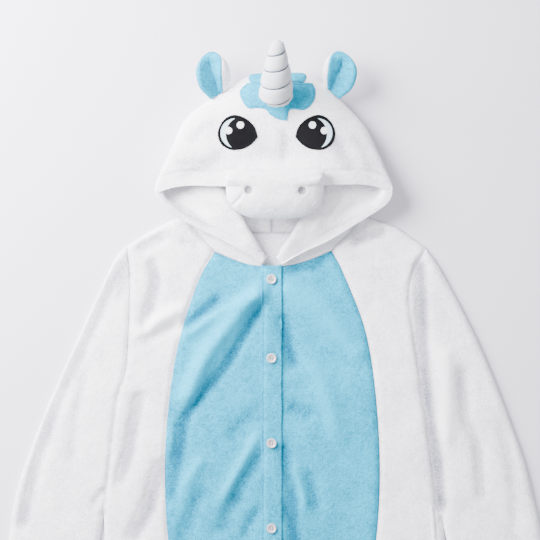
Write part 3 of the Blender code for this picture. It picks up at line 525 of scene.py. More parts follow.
def along_and_away(path, xy):
    """For plan points in mm: how far from a path, and how far along it from 0 to 1."""
    a, b = path[:-1], path[1:]
    step = b - a
    length = np.linalg.norm(step, axis=1)
    start = np.concatenate([[0], np.cumsum(length)[:-1]])
    away, along = np.full(len(xy), 1e9), np.zeros(len(xy))
    for i in range(len(step)):
        t = np.clip(((xy - a[i]) @ step[i]) / length[i] ** 2, 0, 1)
        distance = np.linalg.norm(a[i] + t[:, None] * step[i] - xy, axis=1)
        closer = distance < away
        away[closer] = distance[closer]
        along[closer] = (start[i] + t[closer] * length[i]) / length.sum()
    return away, along


def fold_height(xy, folds, fading=True):
    """Height that folds add at plan points, in mm."""
    total = np.zeros(len(xy))
    for height, width, path in folds:
        line = dense_curve(path, 6)
        near = np.all((xy > line.min(0) - 4 * width) & (xy < line.max(0) + 4 * width), axis=1)
        away, along = along_and_away(line, xy[near])
        fade = np.minimum(1, from_ends(along) / 0.22 + 0.25) if fading else 1.0
        total[near] += height * fade * bell(away, width)
    return total


def rumple(xyz, size, seed):
    """Smooth noise from -1 to 1, its bumps about size millimetres wide."""
    shift = Vector((seed * 7.3, seed * 3.1, 0))
    return np.array([noise.noise(Vector(p) / size + shift) for p in xyz])


def bumps(xyz, table):
    """Several sizes of rumple together. Each row of the table has a height, a size and a seed."""
    return sum(height * rumple(xyz, size, seed) for height, size, seed in table)


def on_plan(xy):
    return np.column_stack([xy, np.zeros(len(xy))])


# %% [markdown]
# ## How the upper layer lies
# The upper layer lies on the lower one a few millimetres up. At an outer edge it turns down to the
# seam along a quarter ellipse, so a point's height comes from how far in it is from that edge.

# %% Height of the upper layer
def outer_edges(side):
    """The outer edges of one half as short steps: their starts and their ends."""
    tables = (SHOULDER, SLEEVE_OUTER, SIDE_EDGE, UNDERARM, INSEAM)
    curves = [dense_curve(table[side], 6) for table in tables]
    return np.vstack([curve[:-1] for curve in curves]), np.vstack([curve[1:] for curve in curves])


OUTER_EDGES = {side: outer_edges(side) for side in SIDES}
print("outer edges:", [len(starts) for starts, _ in OUTER_EDGES.values()], "steps")


def inward_from_edge(xy, side):
    """Distance in from the nearest outer edge, for plan points with x to the right."""
    p = on_side(xy, side)
    away = np.full(len(p), 1e9)
    for a, b in zip(*OUTER_EDGES[side]):
        t = np.clip(((p - a) @ (b - a)) / ((b - a) @ (b - a)), 0, 1)
        away = np.minimum(away, np.linalg.norm(a + t[:, None] * (b - a) - p, axis=1))
    return away


BROAD_STRENGTH, SMALL_STRENGTH = 1.4, 1.6
SETTLING = 1.5            # how softly a deep fold comes to rest on the lower layer, in mm


def upper_height(xy, side, extra=0.0):
    """Height of the upper layer, and its painted shade with the nap's tone, both in mm. The shade is
    deeper where folds, bumps and seam furrows bring the layer down.
    """
    folds = BROAD_STRENGTH * fold_height(xy, BROAD_FOLDS, fading=False)
    folds += SMALL_STRENGTH * fold_height(xy, SMALL_FOLDS)
    flat = on_plan(xy)
    soft = bumps(flat, ((1.5, 75, 1), (0.7, 30, 2), (0.22, 11, 3)))
    top = REST_TOP + folds + soft + extra
    low = LOWEST_TOP + SETTLING
    settled = LOWEST_TOP + SETTLING * np.exp(np.minimum(top - low, 0) / SETTLING)
    top = np.where(top < low, settled, top)
    rise = rounded(inward_from_edge(xy, side) / TURN)
    brushed = 1.6 * rumple(flat * (1.0, 0.5, 1.0), 36, 6) + 1.0 * rumple(flat, 15, 7)
    # The second value is painted shade, deeper where folds, bumps and seam furrows lie low, with the
    # brushed nap's own patchy tone
    return SEAM_Z + (top - SEAM_Z) * rise, (brushed - folds - soft - extra) * rise


# %% [markdown]
# ## Making a sheet
# A sheet starts as Blender's own grid. Each of its vertices remembers its row and column and is
# moved to its place on the cut. A seam is a furrow: the two panels are pulled down together where
# they are sewn, with small puckers beside it. Each point also keeps a painted shade for the cloth's
# colour, deeper in folds and furrows and lighter on raised places, with the nap's patchy tone.

# %% Mesh helpers
def object_from(name, bm, material):
    """A smooth object in the scene from a bmesh, which is used up."""
    mesh = bpy.data.meshes.new(name)
    bm.to_mesh(mesh)
    bm.free()
    mesh.materials.append(material)
    mesh.shade_smooth()
    obj = bpy.data.objects.new(name, mesh)
    bpy.context.scene.collection.objects.link(obj)
    return obj


def applied(obj):
    """Turn an object's modifiers into a plain mesh."""
    bpy.context.view_layer.update()
    made = bpy.data.meshes.new_from_object(obj.evaluated_get(bpy.context.evaluated_depsgraph_get()))
    old = obj.data
    obj.modifiers.clear()
    obj.data = made
    bpy.data.meshes.remove(old)
    made.name = obj.name
    made.shade_smooth()


def dress(obj, slot, *stands_for):
    """Fix a piece to the body and hide the solids it stands for. The slot is not used."""
    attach(obj, "root")
    if stands_for:
        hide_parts(*stands_for)


# %% Grid to sheet
# Painted shade on low places and, below zero, painted light on raised ones, as a share of the change
# toward the deep colour
PAINTED_SHADE_SHARE, PAINTED_SHADE_LEAST = 0.36, -0.3     # how far a pressed or a raised place changes the colour


def sheet_from(name, points, material, painted_shade_and_nap=None, ring=False, up=None):
    """A sheet through rows of points in mm. up=(row, column, direction) says which way it faces."""
    rows, columns = points.shape[:2]
    bm = bmesh.new()
    bmesh.ops.create_grid(bm, x_segments=columns - 1, y_segments=rows - 1, size=1.0)
    shade_and_nap = bm.verts.layers.float.new("painted_shade_and_nap")
    flat = points.reshape(-1, 3)
    for v in bm.verts:
        column = round((v.co.x + 1) / 2 * (columns - 1))
        row = round((v.co.y + 1) / 2 * (rows - 1))
        v.co = spot(*flat[row * columns + column])
        # Each point keeps its painted shade and nap tone for the cloth's colour
        if painted_shade_and_nap is not None:
            v[shade_and_nap] = min(1.0, max(PAINTED_SHADE_LEAST, PAINTED_SHADE_SHARE * painted_shade_and_nap[row, column]))
    if up:
        row, column, direction = up
        bm.faces.ensure_lookup_table()
        bm.normal_update()
        normal = bm.faces[row * (columns - 1) + column].normal
        if normal.dot(Vector(direction)) < 0:
            bmesh.ops.reverse_faces(bm, faces=bm.faces[:])
    if ring:
        bmesh.ops.remove_doubles(bm, verts=bm.verts[:], dist=1e-6)
    print(name, rows, "by", columns, "points")
    return object_from(name, bm, material)


def patch_plan(top, bottom, left, right):
    """Plan points between four boundary runs. top and bottom run from left to right."""
    def spacing(run):
        steps = np.concatenate([[0], np.cumsum(np.linalg.norm(np.diff(run, axis=0), axis=1))])
        return steps / steps[-1]

    u = (spacing(top) + spacing(bottom))[None, :, None] / 2
    v = (spacing(left) + spacing(right))[:, None, None] / 2
    rows = (1 - v) * top[None] + v * bottom[None]
    columns = (1 - u) * left[:, None] + u * right[:, None]
    corners = ((1 - u) * (1 - v) * top[0] + u * (1 - v) * top[-1]
               + (1 - u) * v * bottom[0] + u * v * bottom[-1])
    return rows + columns - corners


# Depth and half width of a seam's furrow, and of the puckers beside it
FURROW, FURROW_WIDTH = 2.8, 5.5
PUCKER, PUCKER_WIDTH = 0.7, 15


def furrow(xy, lines):
    """How far seams along some plan lines pull the cloth down, in mm."""
    pull = np.zeros(len(xy))
    flat = on_plan(xy)
    for line in lines:
        away = np.full(len(xy), 99.0)
        near = np.all((xy > line.min(0) - 25) & (xy < line.max(0) + 25), axis=1)
        away[near] = along_and_away(line[::5] if len(line) > 60 else line, xy[near])[0]
        pull += FURROW * (1 + 0.45 * rumple(flat, 30, 4)) * bell(away, FURROW_WIDTH)
        pull -= PUCKER * rumple(flat, 12, 5) * bell(away, PUCKER_WIDTH)
    return pull


def laid(plan, side, seams):
    """Points of the upper layer over a plan with x outward, and the painted shade and nap tone of
    each.
    """
    shape = plan.shape[:2]
    xy = on_side(plan.reshape(-1, 2), side)
    height, shade_and_nap = upper_height(xy, side, -furrow(xy, [on_side(line, side) for line in seams]))
    # The seams' furrows darken the colour here too, as painted shade
    return np.column_stack([xy, height]).reshape(*shape, 3), (shade_and_nap / 5.0).reshape(shape)


def panel(name, plan, side, material, seams):
    """A panel of the upper layer."""
    points, painted_shade_and_nap = laid(plan, side, seams)
    rows, columns = plan.shape[:2]
    return sheet_from(name, points, material, painted_shade_and_nap, up=(rows // 2, columns // 2, UP))


# %% Fronts, belly, sleeves and back
def body_edges(side):
    outer = joined(armhole_line(side), cut_line(SIDE_EDGE[side], 19))
    shoulder = edged_line(SHOULDER[side], 4, ACROSS)[::-1]
    ankle = edged_line((SIDE_EDGE[side][-1], INSEAM[side][-1]), 4, ACROSS)
    return outer, shoulder, ankle


def front_panel(side):
    outer, shoulder, ankle = body_edges(side)
    neck, belly = neck_front_line(side), belly_edge_line(side)
    crotch = cut_line([(PLACKET_HALF, BELLY_LOW), (0, BELLY_LOW)], 1)
    drop = cut_line([(0, BELLY_LOW), (0, CROTCH)], 1)
    inner = joined(neck, belly, crotch, drop, cut_line(INSEAM[side], 7))
    return panel(f"front_{side}", patch_plan(shoulder, ankle, outer, inner), side, WHITE,
                 [armhole_line(side), neck, belly])


def belly_panel(side):
    band = cut_line([(PLACKET_HALF, -60), (PLACKET_HALF, BELLY_LOW + 8)], 18)
    top, edge = belly_top_line(side), belly_edge_line(side)
    bottom = cut_line([edge[-1], (PLACKET_HALF - 6, BELLY_LOW)], 6, ACROSS)
    band[-1] = bottom[-1]
    plan = patch_plan(top, bottom, edge, band)
    # From the band's edge it goes on under the band to the centre front
    steps = np.linspace(0, 1, 5)[1:, None]
    centre = plan[:, -1:] + (plan[:, -1:] * (0, 1) - plan[:, -1:]) * steps[None]
    plan = np.concatenate([plan, centre], axis=1)
    return panel(f"belly_cloth_{side}", plan, side, BLUE, [edge, top])


def sleeve_tube(side):
    outer_edge = cut_line(SLEEVE_OUTER[side], 9, SLEEVE_DOWN)
    underarm = cut_line(UNDERARM[side], 9, SLEEVE_DOWN)
    cuff = edged_line((SLEEVE_OUTER[side][-1], UNDERARM[side][-1]), 8, ACROSS)
    top = edged_line(ARMHOLE[side], 8, ACROSS)
    plan = patch_plan(top, cuff, outer_edge, underarm)
    over, shade_and_nap = laid(plan, side, [armhole_line(side)])
    under = over[:, ::-1].copy()
    under[:, :, 2] = 0.0
    points = np.concatenate([over, under, over[:, :1]], axis=1)
    painted_shade_and_nap = np.concatenate([shade_and_nap, np.zeros_like(shade_and_nap), shade_and_nap[:, :1]], axis=1)
    return sheet_from(f"sleeve_cloth_{side}", points, WHITE, painted_shade_and_nap, ring=True,
                      up=(points.shape[0] // 2, plan.shape[1] // 2, UP))


def back_half(side):
    """Half of the back. It lies flat on the floor, so it needs far fewer points."""
    outer, shoulder, ankle = body_edges(side)
    seam = cut_line([(0, -1), (0, CROTCH)], 14)
    inner = joined(neck_back_line(side), seam, cut_line(INSEAM[side], 12))
    plan = patch_plan(shoulder[::4], ankle[::4], outer[::5], inner[::5])
    height = np.full(plan.shape[:2] + (1,), BACK_TOP)
    points = np.concatenate([on_side(plan, side), height], axis=2)
    return sheet_from(f"back_half_{side}", points, WHITE, up=(10, 3, UP))


def joined_at_seam(name, halves):
    """Two halves as one sheet, welded where they meet."""
    bm = bmesh.new()
    for half in halves:
        bm.from_mesh(half.data)
    bmesh.ops.remove_doubles(bm, verts=bm.verts[:], dist=1e-5)
    for half in halves[1:]:
        old = half.data
        bpy.data.objects.remove(half)
        bpy.data.meshes.remove(old)
    whole = halves[0]
    bm.to_mesh(whole.data)
    bm.free()
    whole.name = whole.data.name = name
    whole.data.shade_smooth()
    return whole


sheets = {}
for side in SIDES:
    for make in (front_panel, belly_panel, sleeve_tube):
        made = make(side)
        sheets[made.name] = made
sheets["back_cloth"] = joined_at_seam("back_cloth", [back_half(side) for side in SIDES])

# %% [markdown]
# ## The hood
# The hood lies on its back with its front edge rolled outward like a collar. Its lower part is a
# ladder of sections. Each starts on the hem or the outline, runs down into a valley and up over the
# rolled ridge, and ends on the neck seam or the centre-back seam. Its upper part is a shallow dome
# from the outline to the brim, where a band is turned under and stitched.

# %% Sections of the hood
# The lower hood's sections from its front point (0) to the crown (LAST_RUNG), in mm
SIDE_RUNG, BACK_RUNG, CORNER_RUNG, LAST_RUNG = 10, 15, 13, 23
HOOD_RUNGS = (
    # rung, edge z, valley x, y, z, ridge x, y, z, foot x, y, z
    (0, 21, 14, -51, 21, 11, -46, 21, 9, -47, 16),
    (3, 25, 50, -24, 28, 36, -16, 33, 30, -16, 27),
    (6, 29, 88, 8, 31, 54, 10, 38, 47, 11, 31),
    (9, 33, 116, 28, 29, 66, 30, 39, 58, 31, 29),
    (10, 35, 128, 34, 26, 72, 36, 39, 60, 38, 22),
    (11, 37, 145, 45, 20, 77, 44, 39, 62, 46, 9),
    (13, 41, 180, 64, 14, 86, 64, 38, 66, 64, 2),
    (14, 36, 182, 80, 11, 92, 76, 37, 72, 76, 1),
    (16, 25, 168, 124, 4, 108, 104, 32, 86, 104, 0),
    (18, 20, 138, 176, 1, 108, 140, 12, 92, 136, 0),
    (20, 18, 92, 222, 0, 74, 196, 0, 60, 188, 0),
    (23, 18, 0, 272, 0, 0, 265, 0, 0, 255, 0),
)
CROWN_SEAM_TOP = 245.0    # where the last section ends on the centre-back seam
# Outer height of the brim's edge along it, from the corner to the centre
BRIM_RISE = ((13, 43.5), (14, 45), (16, 48), (18, 51), (20, 54), (23, 56))
DOME_POWER = 3.5          # how full the dome is: 2 is a quarter circle, and more is boxier
FINE = 8                  # fine steps to one coarse step of the hood
SECTION_CELLS = 13        # coarse steps along one section
RUNGS = np.linspace(0, LAST_RUNG, LAST_RUNG * FINE + 1)
CORNER_SHIFT = (6.3, -0.5)     # how far the lapel's corner lies outward and up from its cut
CORNER_DIP = 9.0          # how far the brim dips before it turns into the hem
print("hood:", len(RUNGS), "sections on each side")

# %% Lower hood
def smoothed(values, width):
    """Rows of values evened out over a few rows, the two ends kept."""
    reach = int(3 * width)
    weight = np.exp(-0.5 * (np.arange(-reach, reach + 1) / width) ** 2)
    weight /= weight.sum()
    padded = np.concatenate([2 * values[0] - values[reach:0:-1], values,
                             2 * values[-1] - values[-2:-reach - 2:-1]])
    columns = [np.convolve(padded[:, c], weight, mode="valid") for c in range(values.shape[1])]
    return np.stack(columns, axis=1)


def rung_values(*columns):
    table = np.array(HOOD_RUNGS, float)
    return np.stack([np.interp(RUNGS, table[:, 0], table[:, c]) for c in columns], axis=1)


def hood_edge(side):
    """The hem and then the outline, its corner rounded off."""
    hem = cut_line(HOOD_HEM[side], CORNER_RUNG, FINE)
    outline = cut_line(HOOD_OUTLINE[side], LAST_RUNG - CORNER_RUNG, FINE)
    plan = joined(hem, outline)
    near = bell(RUNGS - CORNER_RUNG, 1.6)[:, None]
    plan = plan + (smoothed(plan, 6.5) - plan) * near + np.array(CORNER_SHIFT) * near
    return np.concatenate([plan, smoothed(rung_values(1), 3.0)], axis=1)


def hood_end(side):
    """The neck seam and then the centre-back seam."""
    seam = cut_line([(0, -1), (0, CROWN_SEAM_TOP)], LAST_RUNG - BACK_RUNG, FINE)
    plan = joined(belly_top_line(side, FINE)[::-1], neck_front_line(side, FINE)[::-1],
                  neck_back_line(side, FINE), seam)
    own = upper_height(on_side(plan, side), side, -FURROW)[0]
    z = np.where(RUNGS <= SIDE_RUNG, own, np.clip(SEAM_Z * (SIDE_RUNG + 1 - RUNGS), 0, SEAM_Z))
    return np.column_stack([plan, z])


def hood_lower(side):
    """The sections, each from the edge over the valley, the ridge and its foot to the seam."""
    edge, end = hood_edge(side), hood_end(side)
    valley, ridge, foot = (smoothed(rung_values(first, first + 1, first + 2), 4.0)
                           for first in (2, 5, 8))
    toward = valley[:, :2] - edge[:, :2]
    reach = np.linalg.norm(toward, axis=1)
    toward /= np.maximum(reach, 1e-6)[:, None]
    # Just inside the edge the hem goes straight on, and the crown turns under
    hem = np.column_stack([np.minimum(20, 0.4 * reach), edge[:, 2] - 0.04 * reach])
    crown = np.column_stack([np.minimum(0.5 * edge[:, 2], 0.6 * reach),
                             0.16 * edge[:, 2] + 0.5 * valley[:, 2]])
    share = np.clip((RUNGS - CORNER_RUNG - 0.5) / 1.5, 0, 1)[:, None]
    inward = hem + (crown - hem) * share
    turn = np.column_stack([edge[:, :2] + toward * inward[:, :1], inward[:, 1]])
    sections = zip(edge, turn, valley, ridge, foot, (foot + end) / 2, end)
    points = np.array([cut_line(section, SECTION_CELLS, FINE) for section in sections])
    points[:, :, 2] = np.maximum(points[:, :, 2], 0.0)
    return points


def hood_upper(side):
    """From the turned outline to the brim, corner to crown."""
    corner = CORNER_RUNG * FINE
    rungs, edge = RUNGS[corner:], hood_edge(side)[corner:]
    along = np.linspace(0, 1, len(rungs))
    brim = at_fractions(BRIM[side], along ** 1.15)
    brim = brim + (edge[0, :2] - brim[0]) * np.exp(-10 * along)[:, None]
    from_corner = np.linalg.norm(brim - brim[0], axis=1) / 13
    brim[:, 1] -= CORNER_DIP * from_corner * np.exp(1 - from_corner)
    high = np.interp(rungs, *zip(*BRIM_RISE))
    places = finer([0, 0.02, 0.07, 0.15, 0.25, 0.37, 0.5, 0.64, 0.78, 0.9, 1.0], FINE)
    plan = edge[:, None, :2] + (brim - edge[:, :2])[:, None] * places[None, :, None]
    curve = np.sqrt(1 - (1 - places) ** DOME_POWER)
    z = edge[:, None, 2] + (high - edge[:, 2])[:, None] * curve[None]
    return np.concatenate([plan, z[:, :, None]], axis=2)


def facing(points, row, column):
    """Unit normals of a grid of points, turned so that the one at a row and a column looks up."""
    n = np.cross(np.gradient(points, axis=1), np.gradient(points, axis=0))
    size = np.linalg.norm(n, axis=2)
    straight = size < 1e-6          # a corner drawn out to a line has no normal of its own
    n[straight], size[straight] = UP, 1.0
    n = n / size[:, :, None]
    return n if n[row, column, 2] > 0 else -n


def press(points, outward, folds, rumples, stitched):
    """Move a grid of points along its normals. Returns them, and a painted shade for each, deeper
    where it moved inward.

    Each line in stitched has a depth and a half width beside it.
    """
    flat = points.reshape(-1, 3)
    change = fold_height(flat[:, :2], folds) + bumps(flat, rumples)
    for line, depth, width in stitched:
        tree = KDTree(len(line))
        for i, p in enumerate(line):
            tree.insert(p, i)
        tree.balance()
        away = np.array([tree.find(p)[2] for p in flat])
        change -= depth * (1 + 0.4 * rumple(flat, 15, 9)) * bell(away, width)
    change = change.reshape(points.shape[:2])
    return points + change[:, :, None] * outward, -0.5 * change


# %% Hood sheets
HOOD_FOLDS = (
    (-1.8, 9, ((22, 190), (25, 150), (20, 120))),
    (-2.2, 12, ((-168, 100), (-120, 118), (-80, 150))),
    (-1.8, 10, ((-150, 160), (-120, 190), (-95, 200))),
    (-1.6, 10, ((-175, 118), (-140, 128), (-110, 126))),
    (-1.6, 11, ((150, 110), (128, 140), (118, 175))),
    (-1.4, 10, ((185, 110), (165, 150), (140, 180))),
    (1.6, 14, ((-60, 130), (-20, 118), (40, 120), (90, 128))),
)
LAPEL_FOLDS = (
    (2.6, 9, ((116, 76), (96, 34), (71, -2))),
    (2.4, 8, ((143, 67), (118, 40), (93, 12))),
    (-2.0, 8, ((130, 70), (106, 36), (84, 6))),
    (-2.0, 10, ((-178, 40), (-140, 30), (-105, 2))),
    (1.8, 12, ((-160, 66), (-128, 44), (-96, 18))),
)
# Height, size and seed of each size of rumple
HOOD_RUMPLES = ((2.0, 85, 11), (0.9, 35, 12), (0.25, 12, 13))
LAPEL_RUMPLES = ((1.4, 45, 14), (0.6, 20, 15), (0.22, 10, 16))
BRIM_BAND = 27.0          # depth of the band turned under at the brim
HEM_BAND = 20.0           # and of the hem round the face
CAP_MIDDLE = (80, 40)     # a row and a column near the middle of the dome

for side in SIDES:
    lower = hood_lower(side)
    lower[:, :, 0] *= SIDES[side]
    upward = facing(lower, -3, 8 * FINE)
    rows = slice(0, CORNER_RUNG * FINE)
    step = lower[rows, 8] - lower[rows, 0]
    stitch_line = lower[rows, 0] + step * HEM_BAND / np.linalg.norm(step, axis=1)[:, None]
    fade = np.linspace(0, 1, lower.shape[1])[None] * np.ones((lower.shape[0], 1))
    # press also gives the lapel painted shade in its folds, rumples and along the hem's stitching
    moved, shade_and_nap = press(lower, upward, LAPEL_FOLDS, LAPEL_RUMPLES, ((stitch_line, 1.0, 3.0),))
    keep = np.minimum(1, from_ends(fade) * 12)[:, :, None]
    moved = lower + (moved - lower) * keep
    moved[:, :, 2] = np.maximum(moved[:, :, 2], 0.0)
    name = f"hood_under_{side}"
    # Painted shade along the neck and centre-back seams, where each section ends
    seam_shade = bell(1 - fade, 0.018)
    sheets[name] = sheet_from(name, moved, WHITE, shade_and_nap * keep[:, :, 0] + 1.8 * seam_shade,
                              up=(LAST_RUNG * FINE - 20, SECTION_CELLS * FINE - 3, DOWNWARD))

left, right = hood_upper("left"), hood_upper("right")
left[:, :, 0] *= -1
left[-1, :, 0] = 0
cap = np.concatenate([left, right[-2::-1]], axis=0)
outward = facing(cap, *CAP_MIDDLE)
brim_stitch = cap[:, -1] + np.array([0, BRIM_BAND, 0])
# press also gives the dome painted shade in its folds, rumples and along the brim's stitching
moved, shade_and_nap = press(cap, outward, HOOD_FOLDS, HOOD_RUMPLES, ((brim_stitch, 1.2, 3.0),))
fade = np.minimum(1, np.linspace(0, 1, cap.shape[1]) * 8)[None, :, None]
cap = cap + (moved - cap) * fade
sheets["hood_top"] = sheet_from("hood_top", cap, WHITE, shade_and_nap, up=(*CAP_MIDDLE, UP))

# %% [markdown]
# ## The button band
# The band is one strip of the belly's cloth, folded and stitched down its left side. It lies on the
# belly, so it takes its height from the cloth under it.

# %% Button band
def skin_of(*objects):
    """One tree to drop points onto several objects."""
    verts, faces = [], []
    for obj in objects:
        start = len(verts)
        verts += [v.co.copy() for v in obj.data.vertices]
        faces += [[start + i for i in p.vertices] for p in obj.data.polygons]
    return BVHTree.FromPolygons(verts, faces)


def height_at(skin, x, y, default=0.0):
    """Height of a skin in mm over a plan point in mm."""
    hit = skin.ray_cast(spot(x, y, 500), Vector(DOWNWARD))[0]
    return hit.z / MM if hit else default


def heights_at(skin, xy, default=0.0):
    return np.array([height_at(skin, x, y, default) for x, y in xy])


OFF_SKIN = -99.0          # the height given where there is no cloth below
BUTTON_Y = (-83.0, -225.0, -378.0, -531.0, -684.0)
belly_skin = skin_of(sheets["belly_cloth_left"], sheets["belly_cloth_right"])
BAND_LIFT = WALL + SEWN_GAP    # the band's outer face over the belly's
BAND_STITCH = 3.5         # how far in from the band's left edge it is stitched down
band_x = np.linspace(-PLACKET_HALF, PLACKET_HALF, 22)
band_y = np.linspace(-58.5, PLACKET_END, 260)
sway = 1.3 * rumple(np.column_stack([0 * band_y, band_y, 0 * band_y]), 42, 23)
spread = [band_x + s * (band_x / PLACKET_HALF) ** 2 for s in sway]
grid = np.array([[(x, y, height_at(belly_skin, x, y, REST_TOP) + BAND_LIFT) for x in row]
                 for row, y in zip(spread, band_y)])
flat = grid.reshape(-1, 3)
swell = bumps(flat, ((0.7, 30, 21), (0.25, 12, 22)))
swell -= 0.9 * bell(flat[:, 0] + PLACKET_HALF - BAND_STITCH, 2.0)
swell += bell(flat[:, 0] + 8, 6.0)
near_button = bell(flat[:, 1:2] - np.array(BUTTON_Y)[None], 13.0).sum(axis=1)
swell += 1.3 * (0.4 - near_button) * bell(flat[:, 0], 11.0)
grid[:, :, 2] += swell.reshape(grid.shape[:2])
grid[:, :, 0] += (1.2 * rumple(flat, 60, 24) * (flat[:, 0] > 10)).reshape(grid.shape[:2])
# Painted shade where the band dips at the buttons and its stitching, and painted light where it
# swells, with a patchy nap tone
shade_and_nap = (0.1 - swell / 4 + 0.25 * rumple(flat, 14, 23)).reshape(grid.shape[:2])
sheets["button_band"] = sheet_from("button_band", grid, BLUE, shade_and_nap, up=(20, 10, UP))

# %% Thickness
def thicken(obj, thickness):
    """Give a sheet its thickness, inward from the face that shows, and turn it to a plain mesh."""
    wall = obj.modifiers.new("thickness", "SOLIDIFY")
    wall.thickness, wall.offset, wall.use_rim = thickness * MM, -1.0, True
    applied(obj)


def declare(obj, thickness, slot, size, area, stands_for):
    """Thicken a sheet and say what it is. size is the width and length of its cut, in metres."""
    thicken(obj, thickness)
    dress(obj, slot, *stands_for)
    print(obj.name, "cut", [round(v, 4) for v in size], "area", round(area, 5),
          "lowest", round(min(v.co.z for v in obj.data.vertices) / MM, 2), "mm")


hood_skin = skin_of(sheets["hood_top"])
body_skin = skin_of(*(obj for name, obj in sheets.items() if not name.startswith("hood")))
CUTS = {
    # piece: width and length of its cut in metres, its flat area, what it rests on, node
    "front_left": (0.35, 1.47, 0.25, ["back_cloth"], ["side_front_left"]),
    "front_right": (0.35, 1.47, 0.25, ["back_cloth"], ["side_front_right"]),
    "belly_cloth_left": (0.20, 0.80, 0.13, ["back_cloth"], ["belly_left"]),
    "belly_cloth_right": (0.20, 0.80, 0.13, ["back_cloth"], ["belly_right"]),
    "sleeve_cloth_left": (0.34, 0.60, 0.155, [], ["sleeve_left"]),
    "sleeve_cloth_right": (0.36, 0.60, 0.165, [], ["sleeve_right"]),
    "back_cloth": (0.66, 1.45, 0.74, [], ["back_left", "back_right"]),
    "hood_under_left": (0.34, 0.38, 0.07, ["back_cloth"], ["hood_back_left"]),
    "hood_under_right": (0.34, 0.38, 0.072, ["back_cloth"], ["hood_back_right"]),
    "hood_top": (0.45, 0.25, 0.07, ["hood_under_left", "hood_under_right"],
                 ["hood_front_left", "hood_front_right"]),
    "button_band": (0.04, 0.68, 0.026, ["belly_cloth_left", "belly_cloth_right"], ["placket"]),
}
for name, obj in sheets.items():
    width, length, area, rests_on, stands_for = CUTS[name]
    slot = "blue_fleece" if obj.data.materials[0] == BLUE else "white_fleece"
    declare(obj, WALL, slot, (width, length), area, stands_for)

# %% [markdown]
# ## Patches
# The eyes, the forelock and the pocket's facing are cut pieces sewn on top. Each is a grid trimmed
# to its outline and dropped onto the cloth under it, with a soft middle, an edge that turns down
# and a line of stitching just inside. The strip of mane is the hood's own points, moved out.

# %% Trimmed patch
def closed_curve(points, count):
    return at_fractions(list(points) + [points[0]], even(count))


def inside(xy, outline):
    """Whether plan points lie inside a closed outline."""
    found = np.zeros(len(xy), bool)
    for (x0, y0), (x1, y1) in zip(outline[:-1], outline[1:]):
        if y0 != y1:
            crosses = (y0 > xy[:, 1]) != (y1 > xy[:, 1])
            found ^= crosses & (xy[:, 0] < (x1 - x0) * (xy[:, 1] - y0) / (y1 - y0) + x0)
    return found


def nearest_on(outline, xy):
    """Nearest point of a closed outline, and its distance, for each plan point."""
    best, place = np.full(len(xy), 1e9), np.zeros_like(xy)
    for a, b in zip(outline[:-1], outline[1:]):
        t = np.clip(((xy - a) @ (b - a)) / max((b - a) @ (b - a), 1e-9), 0, 1)
        on = a + t[:, None] * (b - a)
        distance = np.linalg.norm(on - xy, axis=1)
        closer = distance < best
        best[closer], place[closer] = distance[closer], on[closer]
    return place, best


def flat_cut(outline, skin):
    """Width, length and area of a patch laid flat: its outline, let out for the slope under it."""
    low, high = outline.min(0), outline.max(0)
    let_out = []
    for axis in (0, 1):
        line = np.tile((low + high) / 2, (25, 1))
        line[:, axis] = np.linspace(low[axis], high[axis], 25)
        line = line[inside(line, outline)]
        steps = np.diff(line[:, axis])
        rises = np.diff(heights_at(skin, line))
        let_out.append(np.hypot(steps, rises).sum() / steps.sum())
    x, y = outline.T
    drawn = abs(np.dot(x, np.roll(y, -1)) - np.dot(y, np.roll(x, -1))) / 2
    width, length = (high - low) * let_out * MM
    return float(width), float(length), float(drawn * let_out[0] * let_out[1] * MM * MM)


def patch(name, outline, skin, material, shape, slot, stands_for, spacing=1.2,
          thickness=TRIM_WALL):
    """A cut piece lying on a skin. shape(xy, inward) gives its extra height in mm."""
    outline = np.asarray(outline, float)
    low, high = outline.min(0) - spacing, outline.max(0) + spacing
    nx, ny = (int(math.ceil(s / spacing)) for s in high - low)
    bm = bmesh.new()
    bmesh.ops.create_grid(bm, x_segments=nx, y_segments=ny, size=1.0)
    verts = list(bm.verts)
    xy = np.array([(v.co.x, v.co.y) for v in verts]) * (high - low) / 2 + (high + low) / 2
    edge, away = nearest_on(outline, xy)
    signed = np.where(inside(xy, outline), away, -away)
    snapped = np.abs(signed) < 0.5 * spacing
    xy[snapped] = edge[snapped]
    signed[snapped] = 0.0
    extra = shape(xy, np.maximum(signed, 0.0))
    for v, (x, y), d, e in zip(verts, xy, signed, extra):
        if d >= 0:
            v.co = spot(x, y, height_at(skin, x, y) + SEWN_GAP + thickness + e)
    bmesh.ops.delete(bm, geom=[v for v, d in zip(verts, signed) if d < 0], context="VERTS")
    bmesh.ops.dissolve_degenerate(bm, dist=1e-5, edges=bm.edges[:])
    bm.normal_update()
    if sum(f.normal.z for f in bm.faces) < 0:
        bmesh.ops.reverse_faces(bm, faces=bm.faces[:])
    obj = object_from(name, bm, material)
    width, length, area = flat_cut(outline, skin)
    declare(obj, thickness, slot, (width, length), area, stands_for)
    return obj


def sewn_edge(crown, stitch_at, depth=0.7):
    """The shape of a soft middle, an edge that turns down and a stitched furrow just inside it."""
    def shape(xy, inward):
        flat = on_plan(xy)
        puff = crown * (1 - np.exp(-inward / 3.5)) - 0.9 * np.exp(-inward / 0.8)
        line = depth * (1 + 0.3 * rumple(flat, 6, 31)) * bell(inward - stitch_at, 0.9)
        return puff - line + 0.35 * rumple(flat, 14, 32) * np.minimum(inward / 6, 1)

    return shape


# %% Eye embroidery
FACE_X = 8.8                # the hood is turned a little to the right
EYE = [(33, 171), (40, 191), (57, 206), (77, 211), (95, 202), (105, 181), (101, 161), (85, 149),
       (63, 149), (46, 157)]
EYE_RIM = 4.6
